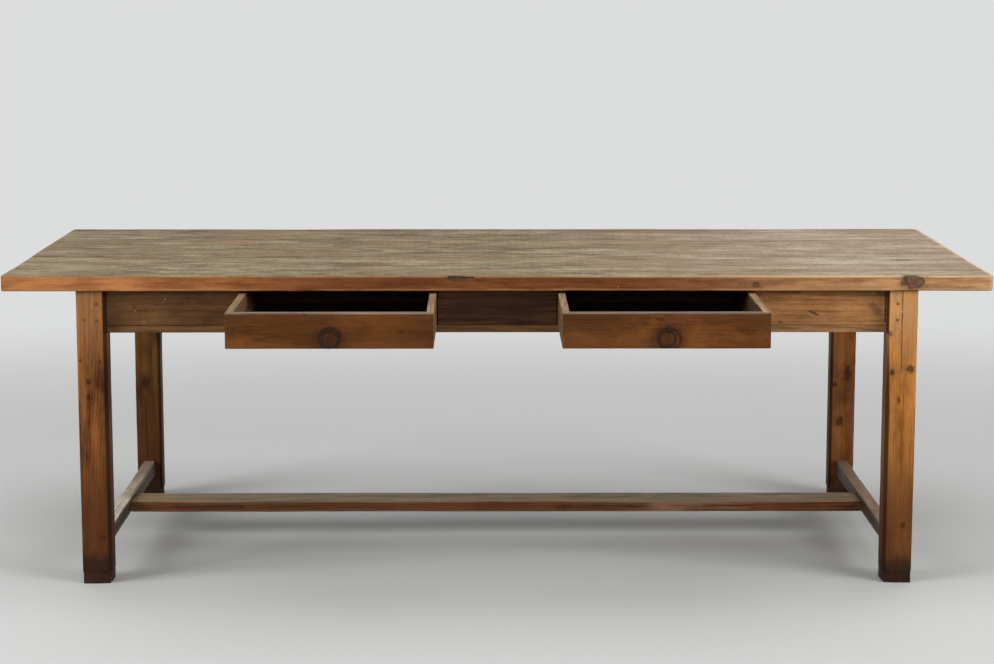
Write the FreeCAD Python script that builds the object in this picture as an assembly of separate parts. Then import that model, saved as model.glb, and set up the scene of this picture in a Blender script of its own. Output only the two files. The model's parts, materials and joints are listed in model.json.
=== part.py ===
import FreeCAD, Part
import math
import os

os.makedirs("parts", exist_ok=True)

# A farmhouse table with two drawers in its front apron, in millimetres.
# +Z is up, the drawers face -Y, and the origin is on the floor midway between the feet.

# Table top
table_length = 2410.0
table_depth = 1050.0
table_height = 770.0
top_thickness = 38.0
front_plank_width = 132.0
second_plank_width = 262.0
middle_plank_width = 268.0
fourth_plank_width = 198.0
back_plank_width = 190.0
tongue_thickness = 12.0
tongue_reach = 10.0
top_corner_round = 8.0
worn_corner_round = 26.0
top_edge_round = 4.0

# Legs and the foot blocks under them
end_overhang = 179.0
side_overhang = 13.0
leg_section = 72.0
inner_chamfer = 8.0
chamfer_run_out = 200.0
outer_chamfer = 2.5
foot_height = 33.0
foot_inset = 1.0
foot_dowel_diameter = 20.0
foot_dowel_in_foot = 20.0
foot_dowel_in_leg = 30.0

# Aprons, and the rail under the drawers
apron_height = 108.0
apron_thickness = 26.0
apron_setback = 30.0
rail_height = 18.0
apron_tongue_thickness = 8.0
apron_tongue_height = 8.0

# Tenons and the pegs through them
tenon_thickness = 10.0
tenon_face_shoulder = 5.0
tenon_lower_shoulder = 6.0
tenon_upper_shoulder = 22.0
rail_tenon_shoulder = 4.0
long_tenon_length = 40.0
tenon_tip_wall = 6.0
joint_spare = 2.0
peg_diameter = 9.0
peg_spacing = 40.0
peg_from_shoulder = 22.0
peg_past_tenon = 1.0
round_fit = 0.1
same_place = 0.01

# Stretchers
stretcher_underside = 70.0
end_stretcher_height = 42.0
end_stretcher_thickness = 34.0
end_stretcher_tenon_thickness = 14.0
end_stretcher_tenon_height = 28.0
end_stretcher_tenon_length = 45.0
long_stretcher_width = 108.0
long_stretcher_offset = 20.0
long_stretcher_thickness = 30.0
long_stretcher_wear = 4.0
long_stretcher_tenon_width = 60.0
long_stretcher_tenon_thickness = 14.0
long_stretcher_tenon_length = 24.0

# Drawers
drawer_centre = 388.0
drawer_width = 480.0
drawer_height = 83.5
drawer_length = 660.0
drawer_pull = 365.0
drawer_side_gap = 1.5
drawer_lift = 0.3
drawer_front_thickness = 24.0
drawer_front_lap = 10.0
drawer_front_wear = 4.0
drawer_side_thickness = 17.0
drawer_back_thickness = 14.0
drawer_back_drop = 10.0
drawer_back_inset = 12.0
drawer_bottom_thickness = 9.0
drawer_bottom_lift = 8.0
drawer_groove_depth = 6.0
drawer_panel_play = 0.5
drawer_nail_diameter = 2.6
drawer_nail_length = 38.0
drawer_nail_head_diameter = 6.0
drawer_nail_head_thickness = 1.0
drawer_nail_spacing = 40.0

# What carries, steers and stops the drawers
runner_ledge = 25.0
runner_tenon_length = 8.0
runner_tenon_height = 8.0
guide_width = 16.0
guide_top_gap = 2.0
stop_length = 24.0
stop_height = 18.0
stop_play = 0.5

# Ring pulls
eye_loop_diameter = 17.0
eye_wire_diameter = 4.0
eye_standoff = 9.0
eye_above_middle = 3.0
right_eye_offset = 5.0
eye_shank_diameter = 6.0
eye_tail_length = 18.0
eye_tail_thickness = 3.0
ring_diameter = 45.0
ring_wire_diameter = 5.0
ring_seat_gap = 0.6
right_ring_lean = 16.0

# What holds the planks together and to the frame
batten_width = 60.0
batten_thickness = 22.0
batten_end_gap = 0.5
button_width = 40.0
button_reach = 32.0
button_thickness = 18.0
button_tongue_height = 8.0
button_tongue_length = 8.0
screw_diameter = 4.0
screw_head_diameter = 8.0
screw_head_height = 3.0
screw_bite = 20.0
end_button_offset = 250.0

# Places that follow from the sizes above
half_length = table_length / 2
half_depth = table_depth / 2
underside = table_height - top_thickness
leg_outer_x = half_length - end_overhang
leg_inner_x = leg_outer_x - leg_section
leg_outer_y = half_depth - side_overhang
leg_inner_y = leg_outer_y - leg_section
leg_middle_x = leg_outer_x - leg_section / 2
leg_middle_y = leg_outer_y - leg_section / 2
apron_outer_x = leg_outer_x - apron_setback
apron_inner_x = apron_outer_x - apron_thickness
apron_outer_y = leg_outer_y - apron_setback
apron_inner_y = apron_outer_y - apron_thickness
apron_bottom = underside - apron_height
rail_top = apron_bottom + rail_height
chamfer_full = apron_bottom - chamfer_run_out
guide_top = underside - guide_top_gap
peg_radius = peg_diameter / 2
peg_hole_radius = peg_radius + round_fit

# Tenons of the long aprons lie across the leg; those of the end aprons stop short of them.
long_tenon_outer_y = apron_outer_y - tenon_face_shoulder
long_tenon_inner_y = long_tenon_outer_y - tenon_thickness
long_tenon_tip_x = leg_inner_x + long_tenon_length
end_tenon_outer_x = apron_outer_x - tenon_face_shoulder
end_tenon_inner_x = end_tenon_outer_x - tenon_thickness
end_tenon_tip_y = long_tenon_inner_y - tenon_tip_wall
tenon_top = underside - tenon_upper_shoulder
front_tenon_bottom = rail_top + tenon_lower_shoulder
full_tenon_bottom = apron_bottom + tenon_lower_shoulder
peg_middle = (front_tenon_bottom + tenon_top) / 2
peg_heights = (peg_middle - peg_spacing / 2, peg_middle + peg_spacing / 2)
long_peg_x = leg_inner_x + peg_from_shoulder
end_peg_y = (leg_inner_y + end_tenon_tip_y) / 2

# Stretcher places
end_stretcher_inner_x = leg_middle_x - end_stretcher_thickness / 2
end_stretcher_outer_x = leg_middle_x + end_stretcher_thickness / 2
end_stretcher_top = stretcher_underside + end_stretcher_height
end_stretcher_middle = stretcher_underside + end_stretcher_height / 2
end_stretcher_tip_y = leg_inner_y + end_stretcher_tenon_length
stretcher_peg_y = leg_inner_y + end_stretcher_tenon_length / 2
long_stretcher_top = stretcher_underside + long_stretcher_thickness
long_stretcher_middle = stretcher_underside + long_stretcher_thickness / 2
long_stretcher_front = long_stretcher_offset - long_stretcher_width / 2
long_stretcher_rear = long_stretcher_offset + long_stretcher_width / 2

# Drawer places, with the drawers standing open
opening_half = drawer_width / 2 + drawer_side_gap
opening_outer_x = drawer_centre + opening_half
opening_inner_x = drawer_centre - opening_half
drawer_bottom = rail_top + drawer_lift
drawer_top = drawer_bottom + drawer_height
drawer_face = -apron_outer_y - drawer_pull
drawer_front_back = drawer_face + drawer_front_thickness
drawer_rear = drawer_face + drawer_length
drawer_back_rear = drawer_rear - drawer_back_inset
drawer_back_front = drawer_back_rear - drawer_back_thickness
drawer_panel_bottom = drawer_bottom + drawer_bottom_lift
drawer_panel_top = drawer_panel_bottom + drawer_bottom_thickness
drawer_inner_half = drawer_width / 2 - drawer_side_thickness
eye_height = drawer_bottom + drawer_height / 2 + eye_above_middle

# Batten and button places: a batten and a button share the room between a guide and a leg
guide_outer_x = opening_outer_x + guide_width
batten_gap = (leg_inner_x - guide_outer_x - batten_width - button_width) / 3
batten_x = guide_outer_x + batten_gap + batten_width / 2
batten_bottom = underside - batten_thickness
batten_end_y = apron_inner_y - batten_end_gap
outer_button_x = leg_inner_x - batten_gap - button_width / 2
inner_button_x = (opening_inner_x + batten_width / 2) / 2


def vector(x, y, z):
    return FreeCAD.Vector(x, y, z)


def box(x_pair, y_pair, z_pair):
    """A block between two values along each axis, in either order."""
    (x0, x1), (y0, y1), (z0, z1) = sorted(x_pair), sorted(y_pair), sorted(z_pair)
    return Part.makeBox(x1 - x0, y1 - y0, z1 - z0, vector(x0, y0, z0))


def rod(radius, start, end):
    """A round bar between two points."""
    along = end - start
    return Part.makeCylinder(radius, along.Length, start, along)


def joined(shapes):
    return shapes[0].multiFuse(shapes[1:]).removeSplitter()


def without(shape, tools):
    return shape.cut(list(tools)) if tools else shape


def at(value, place):
    return abs(value - place) < same_place


def screw(x, y, z_head, length):
    """A countersunk wood screw driven straight up, its head flush at z_head."""
    head = Part.makeCone(screw_head_diameter / 2, screw_diameter / 2, screw_head_height,
                         vector(x, y, z_head))
    shank = rod(screw_diameter / 2, vector(x, y, z_head), vector(x, y, z_head + length))
    return joined([head, shank])


def screw_hole(x, y, z_head, length):
    head = Part.makeCone(screw_head_diameter / 2 + round_fit, screw_diameter / 2 + round_fit,
                         screw_head_height, vector(x, y, z_head))
    shank = rod(screw_diameter / 2 + round_fit, vector(x, y, z_head),
                vector(x, y, z_head + length + round_fit))
    return joined([head, shank])


# Table top

plank_widths = (front_plank_width, second_plank_width, middle_plank_width,
                fourth_plank_width, back_plank_width)
plank_names = ("front_plank", "second_plank", "middle_plank", "fourth_plank", "back_plank")
# Every plank is trimmed alike, so that together they fill the table's depth.
plank_trim = (sum(plank_widths) - table_depth) / len(plank_widths)
plank_edges = [-half_depth]
for plank_width in plank_widths:
    plank_edges.append(plank_edges[-1] + plank_width - plank_trim)
plank_middles = [(low + high) / 2 for low, high in zip(plank_edges, plank_edges[1:])]
batten_places = (-batten_x, 0.0, batten_x)
batten_screw_length = batten_thickness + screw_bite
button_screw_length = button_thickness + screw_bite


def batten_screw_ys():
    """One screw to each plank, kept inside the batten's length."""
    reach = batten_end_y - batten_width / 2
    return [max(-reach, min(reach, middle)) for middle in plank_middles]


def button_places():
    """Each button's place where it meets its apron, with the way it points."""
    front = [(side * x, -apron_inner_y, 0, -1) for side in (-1, 1) for x in (inner_button_x, outer_button_x)]
    back = [(side * x, apron_inner_y, 0, 1) for side in (-1, 1) for x in (drawer_centre, outer_button_x)]
    ends = [(side * apron_inner_x, row * end_button_offset, side, 0) for side in (-1, 1) for row in (-1, 1)]
    return front + back + ends


def button_screw_xy(place):
    x, y, way_x, way_y = place
    return x - way_x * button_reach / 2, y - way_y * button_reach / 2


def top_blank():
    """The whole top before it is parted into planks, rounded at its edges and corners."""
    blank = box((-half_length, half_length), (-half_depth, half_depth), (underside, table_height))
    uprights = [e for e in blank.Edges if abs(e.Vertexes[0].Z - e.Vertexes[1].Z) > top_thickness / 2]
    worn = [e for e in uprights if e.Vertexes[0].X > 0 and e.Vertexes[0].Y > 0]
    blank = blank.makeFillet(worn_corner_round, worn)
    uprights = [e for e in blank.Edges if abs(e.Vertexes[0].Z - e.Vertexes[-1].Z) > top_thickness / 2]
    crisp = [e for e in uprights if e.Vertexes[0].X < 0 or e.Vertexes[0].Y < 0]
    blank = blank.makeFillet(top_corner_round, crisp)
    rims = [e for face in blank.Faces if abs(face.normalAt(0, 0).z) > 0.9 for e in face.Edges]
    return blank.makeFillet(top_edge_round, rims)


def top_screw_holes():
    holes = []
    for x in batten_places:
        holes += [screw_hole(x, y, batten_bottom, batten_screw_length) for y in batten_screw_ys()]
    for place in button_places():
        x, y = button_screw_xy(place)
        holes.append(screw_hole(x, y, underside - button_thickness, button_screw_length))
    return holes


def planks():
    """Planks tongued into one another, the tongue on each plank's rear edge."""
    blank = top_blank()
    holes = Part.makeCompound(top_screw_holes())
    middle = (underside + table_height) / 2
    tongue_z = (middle - tongue_thickness / 2, middle + tongue_thickness / 2)
    ends = (-half_length, half_length)
    made = {}
    for index, name in enumerate(plank_names):
        low, high = plank_edges[index], plank_edges[index + 1]
        plank = blank.common(box(ends, (low, high), (underside, table_height)))
        if index < len(plank_names) - 1:
            tongue = blank.common(box(ends, (high, high + tongue_reach), tongue_z))
            plank = joined([plank, tongue])
        if index > 0:
            groove = box(ends, (low, low + tongue_reach + joint_spare), tongue_z)
            plank = plank.cut(groove)
        made[name] = plank.cut(holes)
    return made


# Legs and feet

def section(x_pair, y_pair, height, low_chamfer, high_chamfer):
    """The corners of an upright: one chamfer on its low-x side, another on its high-x side."""
    (x0, x1), (y0, y1) = sorted(x_pair), sorted(y_pair)
    a, b = low_chamfer, high_chamfer
    corners = [(x0 + a, y0), (x1 - b, y0), (x1, y0 + b), (x1, y1 - b),
               (x1 - b, y1), (x0 + a, y1), (x0, y1 - a), (x0, y0 + a)]
    return [vector(x, y, height) for x, y in corners]


def flat(points):
    return Part.Face(Part.makePolygon(points + points[:1]))


def post(x_pair, y_pair, low_z, high_z, pair):
    """A straight upright with this pair of chamfers."""
    return flat(section(x_pair, y_pair, low_z, *pair)).extrude(vector(0, 0, high_z - low_z))


def run_out(low, high):
    """A length of upright between two sections whose chamfers differ."""
    sides = [flat([low[i - 1], low[i], high[i], high[i - 1]]) for i in range(len(low))]
    solid = Part.makeSolid(Part.makeShell([flat(low), flat(high)] + sides))
    return solid if solid.Volume > 0 else solid.reversed()


def chamfers(side, inner):
    """Chamfers on the low-x and high-x sides of a leg at this end of the table."""
    return (outer_chamfer, inner) if side < 0 else (inner, outer_chamfer)


def foot_dowel(side, row, spare):
    x, y = side * leg_middle_x, row * leg_middle_y
    low = foot_height - foot_dowel_in_foot - spare
    high = foot_height + foot_dowel_in_leg + spare
    radius = foot_dowel_diameter / 2 + (round_fit if spare else 0)
    return rod(radius, vector(x, y, low), vector(x, y, high))


def foot(side, row):
    xs = (side * (leg_inner_x + foot_inset), side * (leg_outer_x - foot_inset))
    ys = (row * (leg_inner_y + foot_inset), row * (leg_outer_y - foot_inset))
    block = post(xs, ys, 0, foot_height, chamfers(side, inner_chamfer))
    return block.cut(foot_dowel(side, row, joint_spare))


def long_peg(side, row, height, radius):
    """A peg from the leg's outer face through a long apron's tenon."""
    tip = long_tenon_inner_y - peg_past_tenon
    return rod(radius, vector(side * long_peg_x, row * leg_outer_y, height),
               vector(side * long_peg_x, row * tip, height))


def end_peg(side, row, height, radius):
    """A peg from the leg's end face through an end apron's tenon."""
    tip = end_tenon_inner_x - peg_past_tenon
    return rod(radius, vector(side * leg_outer_x, row * end_peg_y, height),
               vector(side * tip, row * end_peg_y, height))


def stretcher_peg(side, row, radius):
    tip = leg_middle_x - end_stretcher_tenon_thickness / 2 - peg_past_tenon
    return rod(radius, vector(side * leg_outer_x, row * stretcher_peg_y, end_stretcher_middle),
               vector(side * tip, row * stretcher_peg_y, end_stretcher_middle))


def corner_pegs(side, row, radius):
    pegs = [long_peg(side, row, height, radius) for height in peg_heights]
    return pegs + [end_peg(side, row, height, radius) for height in peg_heights]


def long_tenon(side, row, z_pair, spare=0.0):
    """A tenon at the end of a long apron; with spare depth it is the mortise for it."""
    return box((side * leg_inner_x, side * (long_tenon_tip_x + spare)),
               (row * long_tenon_inner_y, row * long_tenon_outer_y), z_pair)


def end_tenon(side, row, spare=0.0):
    return box((side * end_tenon_inner_x, side * end_tenon_outer_x),
               (row * leg_inner_y, row * (end_tenon_tip_y + spare)), (full_tenon_bottom, tenon_top))


def end_stretcher_tenon(side, row, spare=0.0):
    half_x = end_stretcher_tenon_thickness / 2
    half_z = end_stretcher_tenon_height / 2
    return box((side * (leg_middle_x - half_x), side * (leg_middle_x + half_x)),
               (row * leg_inner_y, row * (end_stretcher_tip_y + spare)),
               (end_stretcher_middle - half_z, end_stretcher_middle + half_z))


rail_tenon_z = (apron_bottom + rail_tenon_shoulder, rail_top)
front_tenon_z = (front_tenon_bottom, tenon_top)
back_tenon_z = (full_tenon_bottom, tenon_top)


def leg(side, row):
    """A leg whose inner chamfers run out below the aprons."""
    xs = (side * leg_inner_x, side * leg_outer_x)
    ys = (row * leg_inner_y, row * leg_outer_y)
    full, plain = chamfers(side, inner_chamfer), chamfers(side, outer_chamfer)
    upright = joined([post(xs, ys, foot_height, chamfer_full, full),
                      run_out(section(xs, ys, chamfer_full, *full), section(xs, ys, apron_bottom, *plain)),
                      post(xs, ys, apron_bottom, underside, plain)])
    long_tenons = (rail_tenon_z, front_tenon_z) if row < 0 else (back_tenon_z,)
    cuts = [long_tenon(side, row, z_pair, joint_spare) for z_pair in long_tenons]
    cuts += [end_tenon(side, row, joint_spare), end_stretcher_tenon(side, row, joint_spare)]
    cuts += corner_pegs(side, row, peg_hole_radius)
    cuts += [stretcher_peg(side, row, peg_hole_radius), foot_dowel(side, row, joint_spare)]
    return without(upright, cuts)


# Aprons and rail

def button(place, spare=0.0):
    """A wooden button under the top with its tongue in the apron's slot; spare makes the slot."""
    x, y, way_x, way_y = place
    half_x = button_width / 2
    top = underside - (button_thickness - button_tongue_height) / 2
    tongue_z = (top - button_tongue_height, top)
    tongue_length = button_tongue_length + spare
    body_z = (underside - button_thickness, underside)
    if way_y:
        body = box((x - half_x, x + half_x), (y, y - way_y * button_reach), body_z)
        tongue = box((x - half_x, x + half_x), (y, y + way_y * tongue_length), tongue_z)
    else:
        body = box((x, x - way_x * button_reach), (y - half_x, y + half_x), body_z)
        tongue = box((x, x + way_x * tongue_length), (y - half_x, y + half_x), tongue_z)
    return tongue if spare else joined([body, tongue])


def button_slots():
    return [button(place, joint_spare) for place in button_places()]


def apron_tongue(x_pair, spare=0.0):
    """The tongue under a front panel, let into the rail; spare makes the rail's groove."""
    middle = -(apron_outer_y + apron_inner_y) / 2
    half = apron_tongue_thickness / 2
    return box(x_pair, (middle - half, middle + half), (rail_top - apron_tongue_height - spare, rail_top))


front_panels = {
    "front_apron_left": (-leg_inner_x, -opening_outer_x),
    "front_apron_centre": (-opening_inner_x, opening_inner_x),
    "front_apron_right": (opening_outer_x, leg_inner_x),
}


def front_panel(x_pair):
    ys = (-apron_outer_y, -apron_inner_y)
    pieces = [box(x_pair, ys, (rail_top, underside)), apron_tongue(x_pair)]
    pegs = []
    for side in (-1, 1):
        if side * leg_inner_x in x_pair:
            pieces.append(long_tenon(side, -1, front_tenon_z))
            pegs += [long_peg(side, -1, height, peg_hole_radius) for height in peg_heights]
    return without(joined(pieces), pegs + button_slots())


def runner_xs(side, way):
    """Both edges of a runner; way is -1 at the drawer's low-x side and 1 at its high-x side."""
    drawer_x = side * drawer_centre
    outer = drawer_x + way * (opening_half + guide_width)
    inner = drawer_x + way * (drawer_width / 2 - runner_ledge)
    return outer, inner


drawer_sides = [(side, way) for side in (-1, 1) for way in (-1, 1)]


def runner_tenon(side, way, row, spare=0.0):
    middle = (apron_bottom + rail_top) / 2
    half = runner_tenon_height / 2
    tip = apron_inner_y + runner_tenon_length + spare
    return box(runner_xs(side, way), (row * apron_inner_y, row * tip), (middle - half, middle + half))


def front_rail():
    pieces = [box((-leg_inner_x, leg_inner_x), (-apron_outer_y, -apron_inner_y), (apron_bottom, rail_top))]
    pieces += [long_tenon(side, -1, rail_tenon_z) for side in (-1, 1)]
    cuts = [apron_tongue(x_pair, joint_spare) for x_pair in front_panels.values()]
    cuts += [runner_tenon(side, way, -1, joint_spare) for side, way in drawer_sides]
    return without(joined(pieces), cuts)


def back_apron():
    pieces = [box((-leg_inner_x, leg_inner_x), (apron_inner_y, apron_outer_y), (apron_bottom, underside))]
    pieces += [long_tenon(side, 1, back_tenon_z) for side in (-1, 1)]
    cuts = [long_peg(side, 1, height, peg_hole_radius) for side in (-1, 1) for height in peg_heights]
    cuts += [runner_tenon(side, way, 1, joint_spare) for side, way in drawer_sides]
    return without(joined(pieces), cuts + button_slots())


def end_apron(side):
    pieces = [box((side * apron_inner_x, side * apron_outer_x), (-leg_inner_y, leg_inner_y),
                  (apron_bottom, underside))]
    pieces += [end_tenon(side, row) for row in (-1, 1)]
    cuts = [end_peg(side, row, height, peg_hole_radius) for row in (-1, 1) for height in peg_heights]
    return without(joined(pieces), cuts + button_slots())


# Stretchers

def long_stretcher_tenon(side, spare=0.0):
    half_y = long_stretcher_tenon_width / 2
    half_z = long_stretcher_tenon_thickness / 2
    tip = end_stretcher_inner_x + long_stretcher_tenon_length + spare
    return box((side * end_stretcher_inner_x, side * tip),
               (long_stretcher_offset - half_y, long_stretcher_offset + half_y),
               (long_stretcher_middle - half_z, long_stretcher_middle + half_z))


def end_stretcher(side):
    pieces = [box((side * end_stretcher_inner_x, side * end_stretcher_outer_x), (-leg_inner_y, leg_inner_y),
                  (stretcher_underside, end_stretcher_top))]
    pieces += [end_stretcher_tenon(side, row) for row in (-1, 1)]
    cuts = [stretcher_peg(side, row, peg_hole_radius) for row in (-1, 1)]
    return without(joined(pieces), cuts + [long_stretcher_tenon(side, joint_spare)])


def long_stretcher():
    board = box((-end_stretcher_inner_x, end_stretcher_inner_x), (long_stretcher_front, long_stretcher_rear),
                (stretcher_underside, long_stretcher_top))
    worn = [e for e in board.Edges if at(e.CenterOfMass.z, long_stretcher_top)
            and (at(e.CenterOfMass.y, long_stretcher_front) or at(e.CenterOfMass.y, long_stretcher_rear))]
    board = board.makeChamfer(long_stretcher_wear, worn)
    return joined([board] + [long_stretcher_tenon(side) for side in (-1, 1)])


# Runners, guides and stops

def runner(side, way):
    bar = box(runner_xs(side, way), (-apron_inner_y, apron_inner_y), (apron_bottom, rail_top))
    return joined([bar] + [runner_tenon(side, way, row) for row in (-1, 1)])


def guide(side, way):
    outer = runner_xs(side, way)[0]
    return box((outer, outer - way * guide_width), (-apron_inner_y, apron_inner_y), (rail_top, guide_top))


def drawer_stop(side, way):
    """A block on the runner behind the place where the closed drawer's side ends."""
    outer = side * drawer_centre + way * drawer_width / 2
    front = drawer_rear + drawer_pull + stop_play
    return box((outer, outer - way * drawer_side_thickness), (front, front + stop_length),
               (rail_top, rail_top + stop_height))


# Drawers

def nail(x, y, z, way, fit=0.0):
    """A nail driven level into the drawer's side, its head flush with the outer face."""
    inward = vector(-way, 0, 0)
    start = vector(x, y, z)
    head = rod(drawer_nail_head_diameter / 2 + fit, start, start + inward * drawer_nail_head_thickness)
    shank = rod(drawer_nail_diameter / 2 + fit, start, start + inward * (drawer_nail_length + fit))
    return joined([head, shank])


def nail_places(side):
    """Where the nails go: through both sides into the drawer's front and back."""
    front_y = (drawer_face + drawer_front_lap + drawer_front_back) / 2
    back_y = (drawer_back_front + drawer_back_rear) / 2
    middle = (drawer_panel_top + drawer_top - drawer_back_drop) / 2
    heights = (middle - drawer_nail_spacing / 2, middle + drawer_nail_spacing / 2)
    places = []
    for way in (-1, 1):
        x = side * drawer_centre + way * drawer_width / 2
        places += [(x, y, z, way) for y in (front_y, back_y) for z in heights]
    return places


def nail_holes(side):
    return [nail(*place, fit=round_fit) for place in nail_places(side)]


def drawer_panel(side, play):
    """The drawer's bottom board; with no play it is the groove cut for it."""
    x = side * drawer_centre
    half = drawer_inner_half + drawer_groove_depth - play
    return box((x - half, x + half), (drawer_front_back - drawer_groove_depth + play, drawer_rear),
               (drawer_panel_bottom, drawer_panel_top))


def drawer_back(side):
    x = side * drawer_centre
    half = drawer_inner_half + drawer_groove_depth
    return box((x - half, x + half), (drawer_back_front, drawer_back_rear),
               (drawer_panel_top, drawer_top - drawer_back_drop))


def eye_centre(side):
    offset = right_eye_offset if side > 0 else 0.0
    return vector(side * drawer_centre + offset, drawer_face - eye_standoff, eye_height)


def eye_shank(side, radius):
    centre = eye_centre(side)
    start = centre + vector(0, eye_loop_diameter / 2 - eye_wire_diameter / 2, 0)
    return rod(radius, start, vector(centre.x, drawer_front_back + eye_tail_thickness, centre.z))


def drawer_front(side):
    x = side * drawer_centre
    xs = (x - drawer_width / 2, x + drawer_width / 2)
    board = box(xs, (drawer_face, drawer_front_back), (drawer_bottom, drawer_top))
    worn = [e for e in board.Edges if at(e.CenterOfMass.z, drawer_top) and at(e.CenterOfMass.y, drawer_face)]
    board = board.makeFillet(drawer_front_wear, worn)
    lap_y = (drawer_face + drawer_front_lap, drawer_front_back)
    cuts = [box((outer, outer + way * drawer_side_thickness), lap_y, (drawer_bottom, drawer_top))
            for outer, way in zip(xs, (1, -1))]
    cuts += [drawer_panel(side, 0.0), eye_shank(side, eye_shank_diameter / 2 + round_fit)]
    return without(board, cuts + nail_holes(side))


def drawer_side(side, way):
    outer = side * drawer_centre + way * drawer_width / 2
    board = box((outer, outer - way * drawer_side_thickness), (drawer_face + drawer_front_lap, drawer_rear),
                (drawer_bottom, drawer_top))
    return without(board, [drawer_panel(side, 0.0), drawer_back(side)] + nail_holes(side))


def drawer_eye(side):
    """A split pin: its loop in front, its two tails bent flat against the back of the drawer front."""
    centre = eye_centre(side)
    loop_radius = eye_loop_diameter / 2 - eye_wire_diameter / 2
    loop = Part.makeTorus(loop_radius, eye_wire_diameter / 2, centre, vector(1, 0, 0))
    half = eye_shank_diameter / 2
    tails = box((centre.x - half, centre.x + half),
                (drawer_front_back, drawer_front_back + eye_tail_thickness),
                (centre.z - eye_tail_length, centre.z + eye_tail_length))
    return joined([loop, eye_shank(side, half), tails])


def ring_lean(side):
    return math.radians(right_ring_lean) if side > 0 else 0.0


def ring_pivot(side):
    """Where the ring's wire hangs in the eye, just clear of the loop's lowest point."""
    hole_radius = eye_loop_diameter / 2 - eye_wire_diameter
    drop = hole_radius - ring_wire_diameter / 2 - ring_seat_gap
    return eye_centre(side) - vector(0, 0, drop)


def ring(side):
    radius = ring_diameter / 2 - ring_wire_diameter / 2
    lean = ring_lean(side)
    centre = ring_pivot(side) + vector(-math.sin(lean), 0, -math.cos(lean)) * radius
    return Part.makeTorus(radius, ring_wire_diameter / 2, centre, vector(0, 1, 0))


# Battens

def batten(x):
    board = box((x - batten_width / 2, x + batten_width / 2), (-batten_end_y, batten_end_y),
                (batten_bottom, underside))
    return without(board, [screw_hole(x, y, batten_bottom, batten_screw_length) for y in batten_screw_ys()])


def bored_button(place):
    x, y = button_screw_xy(place)
    return button(place).cut(screw_hole(x, y, underside - button_thickness, button_screw_length))


# The assembly

side_names = {-1: "left", 1: "right"}
row_names = {-1: "front", 1: "back"}
corners = [(side, row) for row in (-1, 1) for side in (-1, 1)]
nodes = planks()

for side, row in corners:
    corner_name = row_names[row] + "_" + side_names[side]
    nodes[corner_name + "_leg"] = leg(side, row)
    nodes[corner_name + "_foot"] = foot(side, row)

nodes["foot_dowels"] = Part.makeCompound([foot_dowel(side, row, 0.0) for side, row in corners])
nodes["apron_pegs"] = Part.makeCompound(
    [peg for side, row in corners for peg in corner_pegs(side, row, peg_radius)])
nodes["stretcher_pegs"] = Part.makeCompound([stretcher_peg(side, row, peg_radius) for side, row in corners])

for panel_name, x_pair in front_panels.items():
    nodes[panel_name] = front_panel(x_pair)
nodes["front_rail"] = front_rail()
nodes["back_apron"] = back_apron()
nodes["long_stretcher"] = long_stretcher()

for side, name in side_names.items():
    nodes[name + "_end_apron"] = end_apron(side)
    nodes[name + "_end_stretcher"] = end_stretcher(side)
    for way, way_name in side_names.items():
        nodes[name + "_drawer_" + way_name + "_runner"] = runner(side, way)
        nodes[name + "_drawer_" + way_name + "_guide"] = guide(side, way)
        nodes[name + "_drawer_" + way_name + "_side"] = drawer_side(side, way)
    nodes[name + "_drawer_front"] = drawer_front(side)
    nodes[name + "_drawer_back"] = without(drawer_back(side), nail_holes(side))
    nodes[name + "_drawer_bottom"] = drawer_panel(side, drawer_panel_play)
    nodes[name + "_drawer_nails"] = Part.makeCompound([nail(*place) for place in nail_places(side)])
    nodes[name + "_drawer_eye"] = drawer_eye(side)
    nodes[name + "_drawer_ring"] = ring(side)

nodes["drawer_stops"] = Part.makeCompound([drawer_stop(side, way) for side, way in drawer_sides])
for place_name, x in zip(("left", "centre", "right"), batten_places):
    nodes[place_name + "_batten"] = batten(x)
nodes["batten_screws"] = Part.makeCompound(
    [screw(x, y, batten_bottom, batten_screw_length) for x in batten_places for y in batten_screw_ys()])
nodes["top_buttons"] = Part.makeCompound([bored_button(place) for place in button_places()])
nodes["button_screws"] = Part.makeCompound(
    [screw(*button_screw_xy(place), underside - button_thickness, button_screw_length)
     for place in button_places()])

for node_name, shape in nodes.items():
    shape.exportStep("parts/" + node_name + ".step")

print("nodes", len(nodes))
print("left ring pivot", ring_pivot(-1), "right ring pivot", ring_pivot(1))
print("drawer face", drawer_face, "drawer top", drawer_top, "panel top", drawer_panel_top)
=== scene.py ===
import json
import math

import bmesh
import bpy
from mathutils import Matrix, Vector


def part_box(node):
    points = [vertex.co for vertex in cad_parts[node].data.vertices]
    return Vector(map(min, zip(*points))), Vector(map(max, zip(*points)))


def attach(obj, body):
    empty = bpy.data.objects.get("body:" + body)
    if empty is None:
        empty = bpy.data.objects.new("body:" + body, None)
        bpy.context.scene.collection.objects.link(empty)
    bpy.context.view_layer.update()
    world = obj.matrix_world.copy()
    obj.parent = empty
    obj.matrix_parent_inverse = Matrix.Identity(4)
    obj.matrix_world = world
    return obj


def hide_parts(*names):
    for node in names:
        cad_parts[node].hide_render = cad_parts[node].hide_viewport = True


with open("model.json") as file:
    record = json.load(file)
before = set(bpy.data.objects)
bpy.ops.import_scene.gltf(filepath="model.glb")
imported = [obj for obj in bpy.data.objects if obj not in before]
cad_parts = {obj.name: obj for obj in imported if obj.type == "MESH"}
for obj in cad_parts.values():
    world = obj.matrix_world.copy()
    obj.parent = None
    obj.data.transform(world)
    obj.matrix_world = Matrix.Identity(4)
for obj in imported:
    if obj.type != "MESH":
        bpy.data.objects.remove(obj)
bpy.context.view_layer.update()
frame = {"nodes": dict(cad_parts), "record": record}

# A worn farmhouse table. Lengths are metres, in the frame of the solids: +X along the table, +Y to its back.

sides = ("left", "right")
rows = ("front", "back")

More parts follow.
